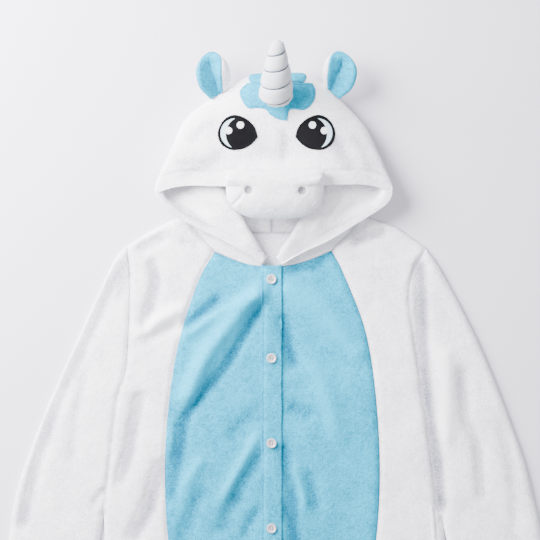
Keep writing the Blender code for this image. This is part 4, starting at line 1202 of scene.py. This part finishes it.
# Circles on the eye, in mm: outward from the middle of the face, up the plan, radius
EYE_CRESCENT, EYE_BITE = (73.6, 178.2, 26.4), (58.9, 176.4, 32.0)
EYE_DOTS = ((64.4, 192.6, 6.5), (85.6, 182.8, 6.4))
# The two shades that each of the black, pale blue and white threads varies between
SATIN_COLOURS = (((0.0012, 0.0012, 0.0018), (0.005, 0.005, 0.0065)),
                 ((0.44, 0.60, 0.68), (0.56, 0.73, 0.80)),
                 ((0.66, 0.66, 0.70), (0.84, 0.84, 0.87)))


def disc_mask(tree, x, y, radius, softness=0.25):
    """1 inside a circle on the plan, in mm, and 0 outside."""
    where = object_place(tree)
    parts = node(tree, "ShaderNodeSeparateXYZ")
    feed(tree, parts, Vector=where)
    centre = spot(x, y)
    dx = maths(tree, "SUBTRACT", parts.outputs["X"], centre.x)
    dy = maths(tree, "SUBTRACT", parts.outputs["Y"], centre.y)
    squares = maths(tree, "ADD", maths(tree, "MULTIPLY", dx, dx), maths(tree, "MULTIPLY", dy, dy))
    away = maths(tree, "SQRT", squares)
    edge = maths(tree, "MULTIPLY", maths(tree, "SUBTRACT", radius * MM, away), 1 / (softness * MM))
    return clamped(tree, edge)


def embroidery(name, side):
    """Black satin stitch with a pale blue crescent and two white dots."""
    material = plain_material(name, (0.012, 0.012, 0.016), 0.5)
    tree = material.node_tree
    shader = tree.nodes["Principled BSDF"]
    sign = SIDES[side]
    outer, inner, *dots = (disc_mask(tree, FACE_X + sign * x, y, radius)
                           for x, y, radius in (EYE_CRESCENT, EYE_BITE, *EYE_DOTS))
    crescent = maths(tree, "MULTIPLY", outer, maths(tree, "SUBTRACT", 1.0, inner))
    dots = maths(tree, "MAXIMUM", *dots)
    where = object_place(tree)
    turned = node(tree, "ShaderNodeMapping")
    feed(tree, turned, Vector=where, Rotation=(0, 0, 0.5 * sign))
    threads = node(tree, "ShaderNodeTexWave", wave_type="BANDS", bands_direction="X")
    feed(tree, threads, Vector=turned.outputs["Vector"], Scale=260.0, Distortion=1.5, Detail=2.0,
         Detail_Scale=60.0)
    black, pale, white = (mixed(tree, threads.outputs["Fac"], (*low, 1), (*high, 1))
                          for low, high in SATIN_COLOURS)
    colour = mixed(tree, dots, mixed(tree, crescent, black, pale), white)
    relief = node(tree, "ShaderNodeBump")
    feed(tree, relief, Height=threads.outputs["Fac"], Distance=0.0004, Strength=0.6)
    feed(tree, shader, Base_Color=colour, Normal=relief.outputs["Normal"])
    shader.inputs["Specular IOR Level"].default_value = 0.05
    return material


def eye_shape(xy, inward):
    """A raised satin rim round the flat filling."""
    rim = 0.5 * bell(inward - 0.45 * EYE_RIM, 0.3 * EYE_RIM)
    return rim - 0.5 * np.exp(-inward / 0.7)


for side in SIDES:
    outline = closed_curve([(SIDES[side] * x + FACE_X, y) for x, y in EYE], 120)
    patch(f"eye_patch_{side}", outline, hood_skin, embroidery(f"eye embroidery {side}", side),
          eye_shape, "black_thread", [f"eye_{side}"], spacing=1.1, thickness=1.3)

# %% Forelock, mane strip and pocket facing
FORELOCK = [(28, 200), (12, 203), (-3, 211), (-10, 220), (-24, 223), (-42, 223), (-54, 238),
            (-57, 254), (-47, 266), (-38, 269), (12, 269), (66, 269), (76, 264), (79, 250),
            (75, 234), (60, 220), (39, 221), (31, 217), (28, 200)]
FORELOCK_STITCH = 3.4     # how far in from its edge the forelock is stitched down
POCKET = [(284, -492), (291, -497), (296, -553), (300, -640), (293, -640), (289, -553)]

forelock_line = at_fractions(FORELOCK, even(260))
forelock = patch("forelock", forelock_line, hood_skin, BLUE, sewn_edge(1.4, FORELOCK_STITCH),
                 "blue_fleece", ["mane_front"], spacing=1.25)
patch("pocket_facing", closed_curve(POCKET, 160), body_skin, WHITE, sewn_edge(1.4, 2.6),
      "white_fleece", ["pocket_right"])


def strip_of_hood(name, first, last, low, rise):
    """A strip of cloth over the crown seam, from first to last across it and from low up."""
    depth = int(np.argmax(cap[CAP_MIDDLE[0], :, 1] < low))
    inner = cap[:, depth]
    rows = np.flatnonzero((inner[:, 0] > first) & (inner[:, 0] < last))
    block = cap[rows[0]:rows[-1] + 1, :depth + 1]
    fine = np.linspace(0, len(block) - 1, 3 * len(block))
    near = fine.astype(int).clip(0, len(block) - 2)
    share = (fine - near)[:, None, None]
    block = block[near] * (1 - share) + block[near + 1] * share
    along, across = (np.linspace(0, 1, count) for count in block.shape[:2])
    # Its two ends are rounded off over 7 mm
    narrowing = rounded(np.maximum(from_ends(along) * (last - first) / 7, 0.05))[:, None, None]
    middle = block[:, block.shape[1] // 2][:, None]
    block = middle + (block - middle) * narrowing
    top = (30, depth - 2)
    edge = np.minimum.outer(from_ends(along) * 40, np.minimum(across + 0.3, 1 - across) * 8)
    soft = rumple(block.reshape(-1, 3), 12, 33).reshape(block.shape[:2])
    lift = SEWN_GAP + TRIM_WALL + rise * np.minimum(1, edge) + 0.4 * soft * np.minimum(1, edge)
    return sheet_from(name, block + lift[:, :, None] * facing(block, *top), BLUE, up=(*top, UP))


mane_strip = strip_of_hood("mane_strip", first=-42, last=64, low=270.5, rise=1.0)
declare(mane_strip, TRIM_WALL, "blue_fleece", size=(0.112, 0.027), area=0.0026,
        stands_for=["mane_back"])

# %% [markdown]
# ## Stuffed pieces
# The snout, the horn and the ears are stuffed. The snout starts from its solid's form, a little
# slack, and is blown up as cloth with a small pressure so that it rounds out. Its top edge is a
# seam, a dart runs from the left nostril to the lower left edge, and each nostril is pulled in to a
# stitched eyelet.

# %% Round pieces
def ball(name, around, levels, shape, material):
    """A closed round piece: a sphere whose every vertex is placed by shape(latitude, longitude)."""
    bm = bmesh.new()
    bmesh.ops.create_uvsphere(bm, u_segments=around, v_segments=levels, radius=1.0)
    for v in bm.verts:
        latitude = math.asin(max(-1.0, min(1.0, v.co.z)))
        v.co = spot(*shape(latitude, math.atan2(v.co.y, v.co.x)))
    bmesh.ops.recalc_face_normals(bm, faces=bm.faces[:])
    return object_from(name, bm, material)


def places_of(obj):
    """Vertex places of an object in plan millimetres."""
    co = np.empty(len(obj.data.vertices) * 3)
    obj.data.vertices.foreach_get("co", co)
    return plan_places(co.reshape(-1, 3))


def place_all(obj, places):
    obj.data.vertices.foreach_set("co", ((places - (*PLAN_ORIGIN, 0)) * MM).ravel())
    obj.data.update()


def vertex_normals(obj):
    normals = np.empty(len(obj.data.vertices) * 3)
    obj.data.vertices.foreach_get("normal", normals)
    return normals.reshape(-1, 3)


# %% Snout
SNOUT_CENTRE = (5.8, 80.0)
SNOUT_HALF_WIDTH, SNOUT_UP, SNOUT_DOWN = 88.5, 32.5, 57.5
SNOUT_MIDDLE, SNOUT_TILT = 60.0, 0.13
SNOUT_TOP, SNOUT_UNDER = 30.0, 14.0
NOSTRILS = {"left": (-41.2, 75.6), "right": (54.9, 74.7)}
EYELET_RADIUS, EYELET_RIBS = 6.6, 24
SLACK = 0.985               # the snout's size before it is blown up
SWELL_MOST = 2.5            # the most that any point of it may move, in mm
PRESSURE, CLOTH_STEPS = 4.0, 20
VOXEL = 4.0                 # side of the even mesh that is blown up, in mm


def snout_shape(latitude, longitude):
    """Boxy above, round below, domed on top and sagging a little under the brim."""
    c, s = math.cos(longitude), math.sin(longitude)
    squareness, reach = (7.0, SNOUT_UP) if s > 0 else (2.6, SNOUT_DOWN)
    radius = (abs(c) ** squareness + abs(s) ** squareness) ** (-1 / squareness)
    out = SLACK * math.cos(latitude) ** 0.75 * radius
    x = SNOUT_CENTRE[0] + SNOUT_HALF_WIDTH * c * out
    y = SNOUT_CENTRE[1] + reach * s * out
    middle = SNOUT_MIDDLE + SNOUT_TILT * (y - SNOUT_CENTRE[1])
    up = math.sin(latitude)
    return x, y, middle + SLACK * (SNOUT_TOP * up ** 0.9 if up > 0 else -SNOUT_UNDER * (-up) ** 0.9)


def blow_up(obj):
    """Remesh a closed piece, run it as pressurised cloth, and keep what it moved within limits."""
    remesh = obj.modifiers.new("even mesh", "REMESH")
    remesh.mode, remesh.voxel_size = "VOXEL", VOXEL * MM
    applied(obj)
    start = places_of(obj)
    cloth = obj.modifiers.new("stuffing", "CLOTH")
    cloth.settings.use_pressure = True
    cloth.settings.uniform_pressure_force = PRESSURE
    cloth.settings.quality = 6
    cloth.settings.effector_weights.gravity = 0.0
    for step in range(1, CLOTH_STEPS + 1):
        bpy.context.scene.frame_set(step)
    applied(obj)
    bpy.context.scene.frame_set(1)
    moved = places_of(obj) - start
    far = np.linalg.norm(moved, axis=1)
    moved *= np.minimum(1, SWELL_MOST / np.maximum(far, 1e-9))[:, None]
    place_all(obj, start + moved)
    print(obj.name, "moved at most", round(float(far.max()), 1), "mm,",
          "on average", round(float(far.mean()), 1))
    finer = obj.modifiers.new("finer", "SUBSURF")
    finer.levels = finer.render_levels = 1
    applied(obj)


snout = ball("snout_pad", 96, 48, snout_shape, WHITE)
blow_up(snout)
places = places_of(snout)
# The upper corners are squared. u is how far out a point is, and v is how far up
u = (places[:, 0] - SNOUT_CENTRE[0]) / SNOUT_HALF_WIDTH
v = np.maximum(places[:, 1] - SNOUT_CENTRE[1], 0) / SNOUT_UP
corner = np.maximum(np.minimum(np.abs(u), v), 1e-3)
wide = np.maximum(np.abs(u), np.maximum(v, 1e-3))
square = ((1 + (corner / wide) ** 3.4) ** (1 / 3.4)) / ((1 + (corner / wide) ** 12) ** (1 / 12))
square = 1 + (square - 1) * np.clip(v * 4, 0, 1)
# The corners go out to the half-width and no further
across = np.abs(u) * square
across = np.where(across > 0.97, 0.97 + 0.03 * np.tanh((across - 0.97) / 0.03), across)
places[:, 0] = SNOUT_CENTRE[0] + SNOUT_HALF_WIDTH * np.sign(u) * across * 1.008
raised = SNOUT_CENTRE[1] + SNOUT_UP * v * np.minimum(square, 1.08)
places[:, 1] = np.where(v > 0, raised, places[:, 1])
place_all(snout, places)
normals = vertex_normals(snout)
over_middle = places[:, 2] - SNOUT_MIDDLE - SNOUT_TILT * (places[:, 1] - SNOUT_CENTRE[1])
top_side = np.clip(over_middle / 8 + 0.5, 0, 1)
SNOUT_CREASES = (
    (-2.6, 2.6, ((-50.5, 69.0), (-58, 60), (-70, 48))),     # the dart
    (1.2, 6.0, ((-56, 54), (-64, 42))),
    (-1.0, 7.0, ((-52, 88), (-70, 100))),
    (-1.2, 9.0, ((62, 66), (78, 50))),
    (-0.9, 12.0, ((-20, 44), (10, 38), (40, 42))),
    (0.8, 12.0, ((-30, 58), (5, 52), (40, 58))),
)
# Creases, rumples and the two pulled-in nostrils move the upper side along its normals
change = fold_height(places[:, :2], SNOUT_CREASES)
change += bumps(places, ((0.8, 38, 41), (0.35, 15, 42), (0.12, 7, 43)))
for nx, ny in NOSTRILS.values():
    r = np.hypot(places[:, 0] - nx, places[:, 1] - ny)
    change -= 2.4 * bell(r, 11.0) + 4.2 / (1 + np.exp((r - EYELET_RADIUS) / 0.5))
places = places + (change * top_side)[:, None] * normals
# The sides stand up boxy beside the top seam, and the pad rests on the hood
seat = heights_at(hood_skin, places[:, :2], OFF_SKIN)
u = np.minimum(np.abs(places[:, 0] - SNOUT_CENTRE[0]) / (1.01 * SNOUT_HALF_WIDTH), 1)
v = (places[:, 1] - SNOUT_CENTRE[1]) / SNOUT_UP
spine = np.flatnonzero((u < 0.08) & (top_side > 0.5))
spine = spine[np.argsort(v[spine])]
crown = np.interp(v, v[spine], smoothed(places[spine, 2:], 4.0)[:, 0])
boxy = seat + (crown - seat) * np.sqrt((1 - u ** 24) * (1 - np.clip(v, 0, 1) ** 4))
share = np.clip(2.2 * v, 0, 1) * (top_side > 0.5)
places[:, 2] += share * np.maximum(boxy - places[:, 2], 0) * (seat > OFF_SKIN)
places[:, 2] = np.maximum(places[:, 2], seat + SEWN_GAP)
place_all(snout, places)
dress(snout, "white_fleece", "snout")
print("snout faces", len(snout.data.polygons))

# %% Eyelets
THREAD = fleece("grey thread", (0.36, 0.365, 0.39), (0.20, 0.205, 0.23), speckle=0.6, bump=0.7)
snout_skin = skin_of(snout)
for side, (nx, ny) in NOSTRILS.items():
    rows, around = 7, 49
    dish = np.zeros((rows, around, 3))
    for i, r in enumerate(np.linspace(0.0, EYELET_RADIUS + 0.4, rows)):
        for j in range(around):
            turn = 2 * math.pi * j / (around - 1)
            x, y = nx + r * math.cos(turn), ny + r * math.sin(turn)
            rib = 0.12 * math.cos(EYELET_RIBS * turn) * min(1, r / 3)
            dish[i, j] = (x, y, height_at(snout_skin, x, y, 80.0) + 0.5 + rib)
    eyelet = sheet_from(f"eyelet_{side}", dish, THREAD, ring=True, up=(3, 5, UP))
    declare(eyelet, 0.4, "grey_thread", size=(0.0167, 0.0167), area=0.00022,
            stands_for=[f"nostril_{side}"])

# %% Horn
HORN_BASE, HORN_BEND, HORN_TIP = (8.0, 239.0, 61.0), (9.6, 291.0, 98.0), (11.2, 342.0, 122.0)
# Its radius by the share of the length
HORN_RADII = ((0.0, 26.0), (0.06, 31.0), (0.3, 28.5), (0.55, 23.0), (0.8, 16.0),
              (0.9, 13.0), (0.95, 10.0), (1.0, 0.0))
# Where the wound thread crosses the front of the horn, as turns by the share of the length
HORN_WINDING = ((0.0, 0.05), (0.05, 0.25), (0.285, 1.25), (0.54, 2.25), (0.778, 3.25), (1.0, 4.1))


def horn_axis(s):
    a, b, c = (np.array(p) for p in (HORN_BASE, HORN_BEND, HORN_TIP))
    return (1 - s) ** 2 * a + 2 * s * (1 - s) * (2 * b - (a + c) / 2) + s ** 2 * c


def wobble(longitude):
    """How far the thread runs ahead of an even winding, in turns."""
    return 0.06 * math.sin(2 * longitude) / (2 * math.pi)


def winding(s, longitude):
    """How many turns of thread there are up to a place on the horn."""
    return np.interp(s, *zip(*HORN_WINDING)) + longitude / (2 * math.pi) + wobble(longitude)


def horn_place(s, longitude, lift=0.0):
    radius = np.interp(s, *zip(*HORN_RADII))
    along = horn_axis(min(s + 0.01, 1.0)) - horn_axis(max(s - 0.01, 0.0))
    along = along / np.linalg.norm(along)
    across = np.cross(along, UP)
    across = across / np.linalg.norm(across)
    upward = np.cross(across, along)
    off = winding(s, longitude) % 1.0 - 0.5
    round_the_horn = Vector((math.cos(longitude) * 1.5, math.sin(longitude) * 1.5, s * 9))
    soft = 0.015 * noise.noise(round_the_horn)
    groove = 0.075 * bell(off, 0.05) + 0.07 * bell(off, 0.2)
    radius = radius * (1 - groove + soft) + lift
    return horn_axis(s) + radius * (math.cos(longitude) * across + math.sin(longitude) * upward)


mane_skin = skin_of(sheets["hood_top"], forelock, mane_strip)
horn = ball("horn_pad", 96, 120, lambda lat, lon: horn_place(0.5 + lat / math.pi, lon), HORN_CLOTH)
places = places_of(horn)
places[:, 2] = np.maximum(places[:, 2], heights_at(mane_skin, places[:, :2], OFF_SKIN) + 0.2)
place_all(horn, places)
dress(horn, "horn_cloth", "horn")


def tube(name, path, radius, material, sides=8):
    """A round thread along a path."""
    path = np.array(path)
    ahead = np.gradient(path, axis=0)
    ahead /= np.linalg.norm(ahead, axis=1)[:, None]
    side_way = np.cross(ahead, UP)
    side_way /= np.linalg.norm(side_way, axis=1)[:, None]
    up_way = np.cross(side_way, ahead)
    turns = np.linspace(0, 2 * math.pi, sides + 1)
    points = path[:, None] + radius * (np.cos(turns)[None, :, None] * side_way[:, None]
                                       + np.sin(turns)[None, :, None] * up_way[:, None])
    obj = sheet_from(name, points, material, ring=True)
    bm = bmesh.new()
    bm.from_mesh(obj.data)
    bmesh.ops.holes_fill(bm, edges=[e for e in bm.edges if e.is_boundary])
    bmesh.ops.recalc_face_normals(bm, faces=bm.faces[:])
    bm.to_mesh(obj.data)
    bm.free()
    return obj


WINDING_THREAD = fleece("winding thread", (0.06, 0.09, 0.12), (0.03, 0.05, 0.07))
path = []
shares, winds = zip(*HORN_WINDING)
for turns in np.arange(-0.42, 3.05, 1 / 72):
    longitude = -2 * math.pi * turns
    share = np.interp(0.5 + turns - wobble(longitude), winds, shares)
    path.append(horn_place(share, longitude, 0.35))
dress(tube("horn_thread", path, 1.3, WINDING_THREAD), "grey_thread")

# %% [markdown]
# ## Ears
# Each ear is a leaf with a stuffed white back and a blue lining that reaches its outer edge. It is
# folded at the crown seam, so a deep crease runs down the lining, and on the inner side the white
# back rolls round behind.

# %% Ears
EAR_OUTER_EDGE = {
    "left": [(108, 243), (129, 261), (136, 286), (127, 312), (112, 324)],
    "right": [(122, 242.3), (144, 261), (151, 289), (141, 314), (126, 325)],
}
EAR_INNER_EDGE = {
    "left": [(78, 262), (74, 282), (81, 304), (93, 319), (103, 324)],
    "right": [(97, 266.3), (93, 285), (98, 306), (108, 320), (117, 325)],
}
EAR_BASE_Z, EAR_RISE = 20.1, 24.0
EAR_DEPTH = 14.0
PAD_HALF = 2.0            # half the thickness of an ear's stuffed back
LINING_START = 0.012      # the lining starts just in from the ear's outer edge
LINING_LIFT = 4.2         # and its outer face lies this far over the back's under face
# By the share of an ear's length: where across it the rim and the crease lie, and the depth
EAR_RIM = {"left": ((0, 0.67), (0.35, 0.74), (0.7, 0.92), (1, 0.99)),
           "right": ((0, 0.82), (0.35, 0.88), (0.7, 0.95), (1, 0.99))}
EAR_CREASE = {"left": ((0, 0.48), (0.35, 0.54), (0.65, 0.44), (1, 0.4)),
              "right": ((0, 0.64), (0.1, 0.66), (0.35, 0.60), (0.65, 0.48), (1, 0.42))}
CREASE_DEPTH = ((0, 0.9), (0.3, 1.0), (0.58, 1.0), (0.68, 0.75), (0.76, 0.22),
                (0.86, 0.02), (1, 0.0))


def ear_points(side, along, across, to_rim=False):
    """Rows of ear points. across runs over the whole width, or as far as the lining's rim."""
    outer_edge = at_fractions(EAR_OUTER_EDGE[side], along)
    inner_edge = at_fractions(EAR_INNER_EDGE[side], along)
    rows, crease_shade = [], []
    for t, a, b in zip(along, outer_edge, inner_edge):
        rim = np.interp(t, *zip(*EAR_RIM[side]))
        crease = np.interp(t, *zip(*EAR_CREASE[side]))
        deep = np.interp(t, *zip(*CREASE_DEPTH))
        u = across * rim if to_rim else across
        # The height across the ear: from the outer edge down into the crease, up and over the rim
        shape = dense_curve((
            (0, 0.85), (0.04, 1.0), (0.4 * crease, 1 - 0.38 * deep),
            (0.85 * crease, 1 - 0.86 * deep), (crease, 1 - deep),
            (crease + 0.3 * (rim - crease), 1 - 0.62 * deep), (rim - 0.03, 0.98),
            (rim + 0.35 * (1 - rim), 0.92), (1.0, 0.5)), 8)
        shape = shape[np.argsort(shape[:, 0], kind="stable")]
        if side == "left":
            a = a + 0.06 * math.sin(math.pi * t) * (b - a)
        plan = a + (b - a) * u[:, None]
        depth = EAR_DEPTH * math.sin(math.pi * min(0.2 + 0.8 * t, 0.96)) ** 0.8
        z = EAR_BASE_Z + EAR_RISE * math.sin(0.62 * math.pi * t)
        z = z + depth * np.interp(u, shape[:, 0], shape[:, 1])
        rows.append(np.column_stack([plan, z]))
        # Painted shade down the crease, for the lining's colour
        crease_shade.append(bell(u - crease + 0.02, 0.10) * deep)
    points = np.array(rows)
    points[:, :, 0] *= SIDES[side]
    up = facing(points, len(points) // 2, 4)
    up[:, :, :2] *= (1 - np.clip((along - 0.6) / 0.25, 0, 1))[:, None, None]
    return points, up, np.array(crease_shade)


def closed_pad(name, upper, under, material):
    """A closed pad between an upper and an under face that share their rim."""
    rows, columns = upper.shape[:2]
    bm = bmesh.new()
    faces = []
    for points, turned in ((upper, False), (under, True)):
        grid = [[bm.verts.new(spot(*p)) for p in row] for row in points]
        for i in range(rows - 1):
            for j in range(columns - 1):
                quad = [grid[i][j], grid[i][j + 1], grid[i + 1][j + 1], grid[i + 1][j]]
                faces.append(bm.faces.new(quad[::-1] if turned else quad))
    bmesh.ops.remove_doubles(bm, verts=bm.verts[:], dist=1e-5)
    bmesh.ops.recalc_face_normals(bm, faces=bm.faces[:])
    return object_from(name, bm, material)


for side in SIDES:
    along, across = np.sin(np.linspace(0, math.pi / 2, 45)), np.linspace(0, 1, 57)
    points, up, _ = ear_points(side, along, across)
    rim = np.minimum.outer(np.minimum(along + 0.3, 1 - along) * 9, from_ends(across) * 14)
    rim = rounded(rim)[:, :, None]
    soft = rumple(points.reshape(-1, 3), 14, 51).reshape(points.shape[:2])[:, :, None]
    middle = points + PAD_HALF * up
    upper, under = middle + PAD_HALF * rim * up, middle - (PAD_HALF + 0.5 * soft) * rim * up
    back = closed_pad(f"ear_shell_{side}", upper, under, WHITE)
    dress(back, "white_fleece", f"ear_back_{side}")
    across = np.linspace(LINING_START, 1.0, 53)
    along = 0.998 * np.sin(np.linspace(0, math.pi / 2, 45))
    points, up, deep = ear_points(side, along, across, to_rim=True)
    edge = np.minimum.outer(np.minimum(along + 0.3, 1 - along) * 16,
                            np.minimum(across - LINING_START, 1 - across) * 16)
    edge = rounded(edge)
    soft = rumple(points.reshape(-1, 3), 10, 52).reshape(points.shape[:2])
    lift = LINING_LIFT + 1.6 * edge + 0.5 * soft * edge
    # The lining's colour gets painted shade down its crease and a patchy tone that follows its
    # rumples
    lining = sheet_from(f"ear_lining_{side}", points + lift[:, :, None] * up, BLUE,
                        0.9 * deep + 0.25 * soft, up=(20, 4, UP))
    declare(lining, TRIM_WALL, "blue_fleece", size=(0.063, 0.09), area=0.0043,
            stands_for=[f"ear_inner_{side}"])

# %% [markdown]
# ## Buttons and stitches
# Five pearly four-hole buttons are sewn down the band. A row of small stitches holds the band's
# folded edge, and another runs round the forelock.

# %% Buttons
# Radius and height of a button's section in mm, from the middle of its face to its underside
BUTTON_PROFILE = ((0.0, 1.5), (4.6, 1.5), (5.6, 1.9), (6.5, 2.7), (7.6, 3.0), (8.5, 2.7),
                  (9.0, 1.8), (9.0, 1.0), (8.3, 0.2), (6.5, 0.0), (0.0, 0.0))
HOLE_PLACE, HOLE_RADIUS = 1.9, 0.95
BAR_HALF = 2.6            # half the length of a bar of thread between two holes


def pearl():
    """Pale shell-like plastic with faint clouds."""
    material = plain_material("pearly plastic", (0.6, 0.6, 0.62), 0.22)
    tree = material.node_tree
    shader = tree.nodes["Principled BSDF"]
    where = object_place(tree)
    clouds = grain(tree, where, scale=160.0, detail=3.0)
    rough = maths(tree, "MULTIPLY_ADD", clouds, 0.2, 0.14)
    colour = mixed(tree, clouds, (0.34, 0.34, 0.38, 1), (0.60, 0.57, 0.61, 1))
    feed(tree, shader, Base_Color=colour, Roughness=rough)
    shader.inputs["Specular IOR Level"].default_value = 0.6
    shader.inputs["Coat Weight"].default_value = 0.4
    return material


PEARL = pearl()


def button(name, place, normal):
    """A button with four drilled holes. Returns it and the matrix that seats it."""
    bm = bmesh.new()
    ring = [bm.verts.new((r * MM, 0, z * MM)) for r, z in BUTTON_PROFILE]
    edges = [bm.edges.new(pair) for pair in zip(ring[:-1], ring[1:])]
    bmesh.ops.spin(bm, geom=ring + edges, cent=(0, 0, 0), axis=UP, angle=2 * math.pi, steps=48,
                   use_merge=True)
    bmesh.ops.remove_doubles(bm, verts=bm.verts[:], dist=1e-7)
    bmesh.ops.recalc_face_normals(bm, faces=bm.faces[:])
    obj = object_from(name, bm, PEARL)
    cutters = []
    for x in (-HOLE_PLACE, HOLE_PLACE):
        for y in (-HOLE_PLACE, HOLE_PLACE):
            hole = bmesh.new()
            bmesh.ops.create_cone(hole, cap_ends=True, segments=16, radius1=HOLE_RADIUS * MM,
                                  radius2=HOLE_RADIUS * MM, depth=0.02,
                                  matrix=Matrix.Translation((x * MM, y * MM, 0)))
            drill = bpy.data.meshes.new("drill")
            hole.to_mesh(drill)
            hole.free()
            cutter = bpy.data.objects.new("drill", drill)
            bpy.context.scene.collection.objects.link(cutter)
            cut = obj.modifiers.new("hole", "BOOLEAN")
            cut.object, cut.operation, cut.solver = cutter, "DIFFERENCE", "EXACT"
            cutters.append(cutter)
    applied(obj)
    for cutter in cutters:
        drill = cutter.data
        bpy.data.objects.remove(cutter)
        bpy.data.meshes.remove(drill)
    seat = Matrix.Translation(place) @ normal.to_track_quat("Z", "Y").to_matrix().to_4x4()
    obj.data.transform(seat)
    return obj, seat


SEWING = fleece("button thread", (0.36, 0.20, 0.22), (0.22, 0.11, 0.13))
band_skin = skin_of(sheets["button_band"])
bar = [(x, 0.9 * math.sin(math.pi * (x + BAR_HALF) / (2 * BAR_HALF)) + 1.0)
       for x in np.linspace(-BAR_HALF, BAR_HALF, 9)]
for number, y in enumerate(BUTTON_Y, 1):
    right, left, above, below = (spot(a, b, height_at(band_skin, a, b))
                                 for a, b in ((8, y), (-8, y), (0, y + 8), (0, y - 8)))
    over, up = right - left, above - below
    normal = over.cross(up).normalized()
    top = max(height_at(band_skin, a, y + b) - (a * over.z + b * up.z) / 0.016
              for a in (-8, -4, 0, 4, 8) for b in (-8, -4, 0, 4, 8))
    obj, seat = button(f"shell_button_{number}", spot(0, y, top + 0.2), normal)
    dress(obj, "button_plastic", f"button_{number}")
    for label, across in zip("ab", (-HOLE_PLACE, HOLE_PLACE)):
        path = plan_places([seat @ Vector((x * MM, across * MM, z * MM)) for x, z in bar])
        dress(tube(f"button_thread_{number}{label}", path, 0.55, SEWING), "grey_thread")


# %% Stitched lines
PITCH, STITCH = 3.8, 2.8     # from one stitch to the next, and the length of one, in mm


def stitch_row(name, line, skin, thread, radius=0.5):
    """A line of small stitches drawn into a skin along plan points in mm."""
    line = np.array(line, float)
    count = int(length_of(line) / PITCH)
    middle = (np.arange(count) + 0.5) / count
    reach = 0.5 * STITCH / (count * PITCH)
    bm = bmesh.new()
    for ends in zip(at_fractions(line, middle - reach), at_fractions(line, middle + reach)):
        a, b = (spot(x, y, height_at(skin, x, y) + 0.1) for x, y in ends)
        turn = (b - a).to_track_quat("X", "Z").to_matrix().to_4x4()
        size = Matrix.Diagonal((0.5 * STITCH * MM, radius * MM, radius * MM, 1.0))
        bmesh.ops.create_uvsphere(bm, u_segments=6, v_segments=5, radius=1.0,
                                  matrix=Matrix.Translation((a + b) / 2) @ turn @ size)
    dress(object_from(name, bm, thread), "grey_thread")
    print(name, count, "stitches")


def inset(outline, by):
    """A closed outline moved inward, without the points that crowd its corners."""
    ahead = np.gradient(outline, axis=0)
    ahead /= np.linalg.norm(ahead, axis=1)[:, None]
    turned = np.column_stack([-ahead[:, 1], ahead[:, 0]])
    moved = outline + by * turned
    if not inside(moved[20:21], outline)[0]:
        moved = outline - by * turned
    near = np.linalg.norm(moved[:, None] - outline[None], axis=2).min(axis=1)
    return moved[near > 0.93 * by]


BLUE_THREAD = fleece("blue thread", (0.0, 0.20, 0.36), (0.0, 0.10, 0.20))
round_the_forelock = inset(forelock_line, FORELOCK_STITCH)
stitch_row("forelock_stitches", round_the_forelock, skin_of(forelock), BLUE_THREAD, radius=0.75)
down_the_band = [(-PLACKET_HALF + BAND_STITCH, y) for y in np.linspace(-62, PLACKET_END + 8, 60)]
stitch_row("band_stitches", down_the_band, band_skin, BLUE_THREAD)
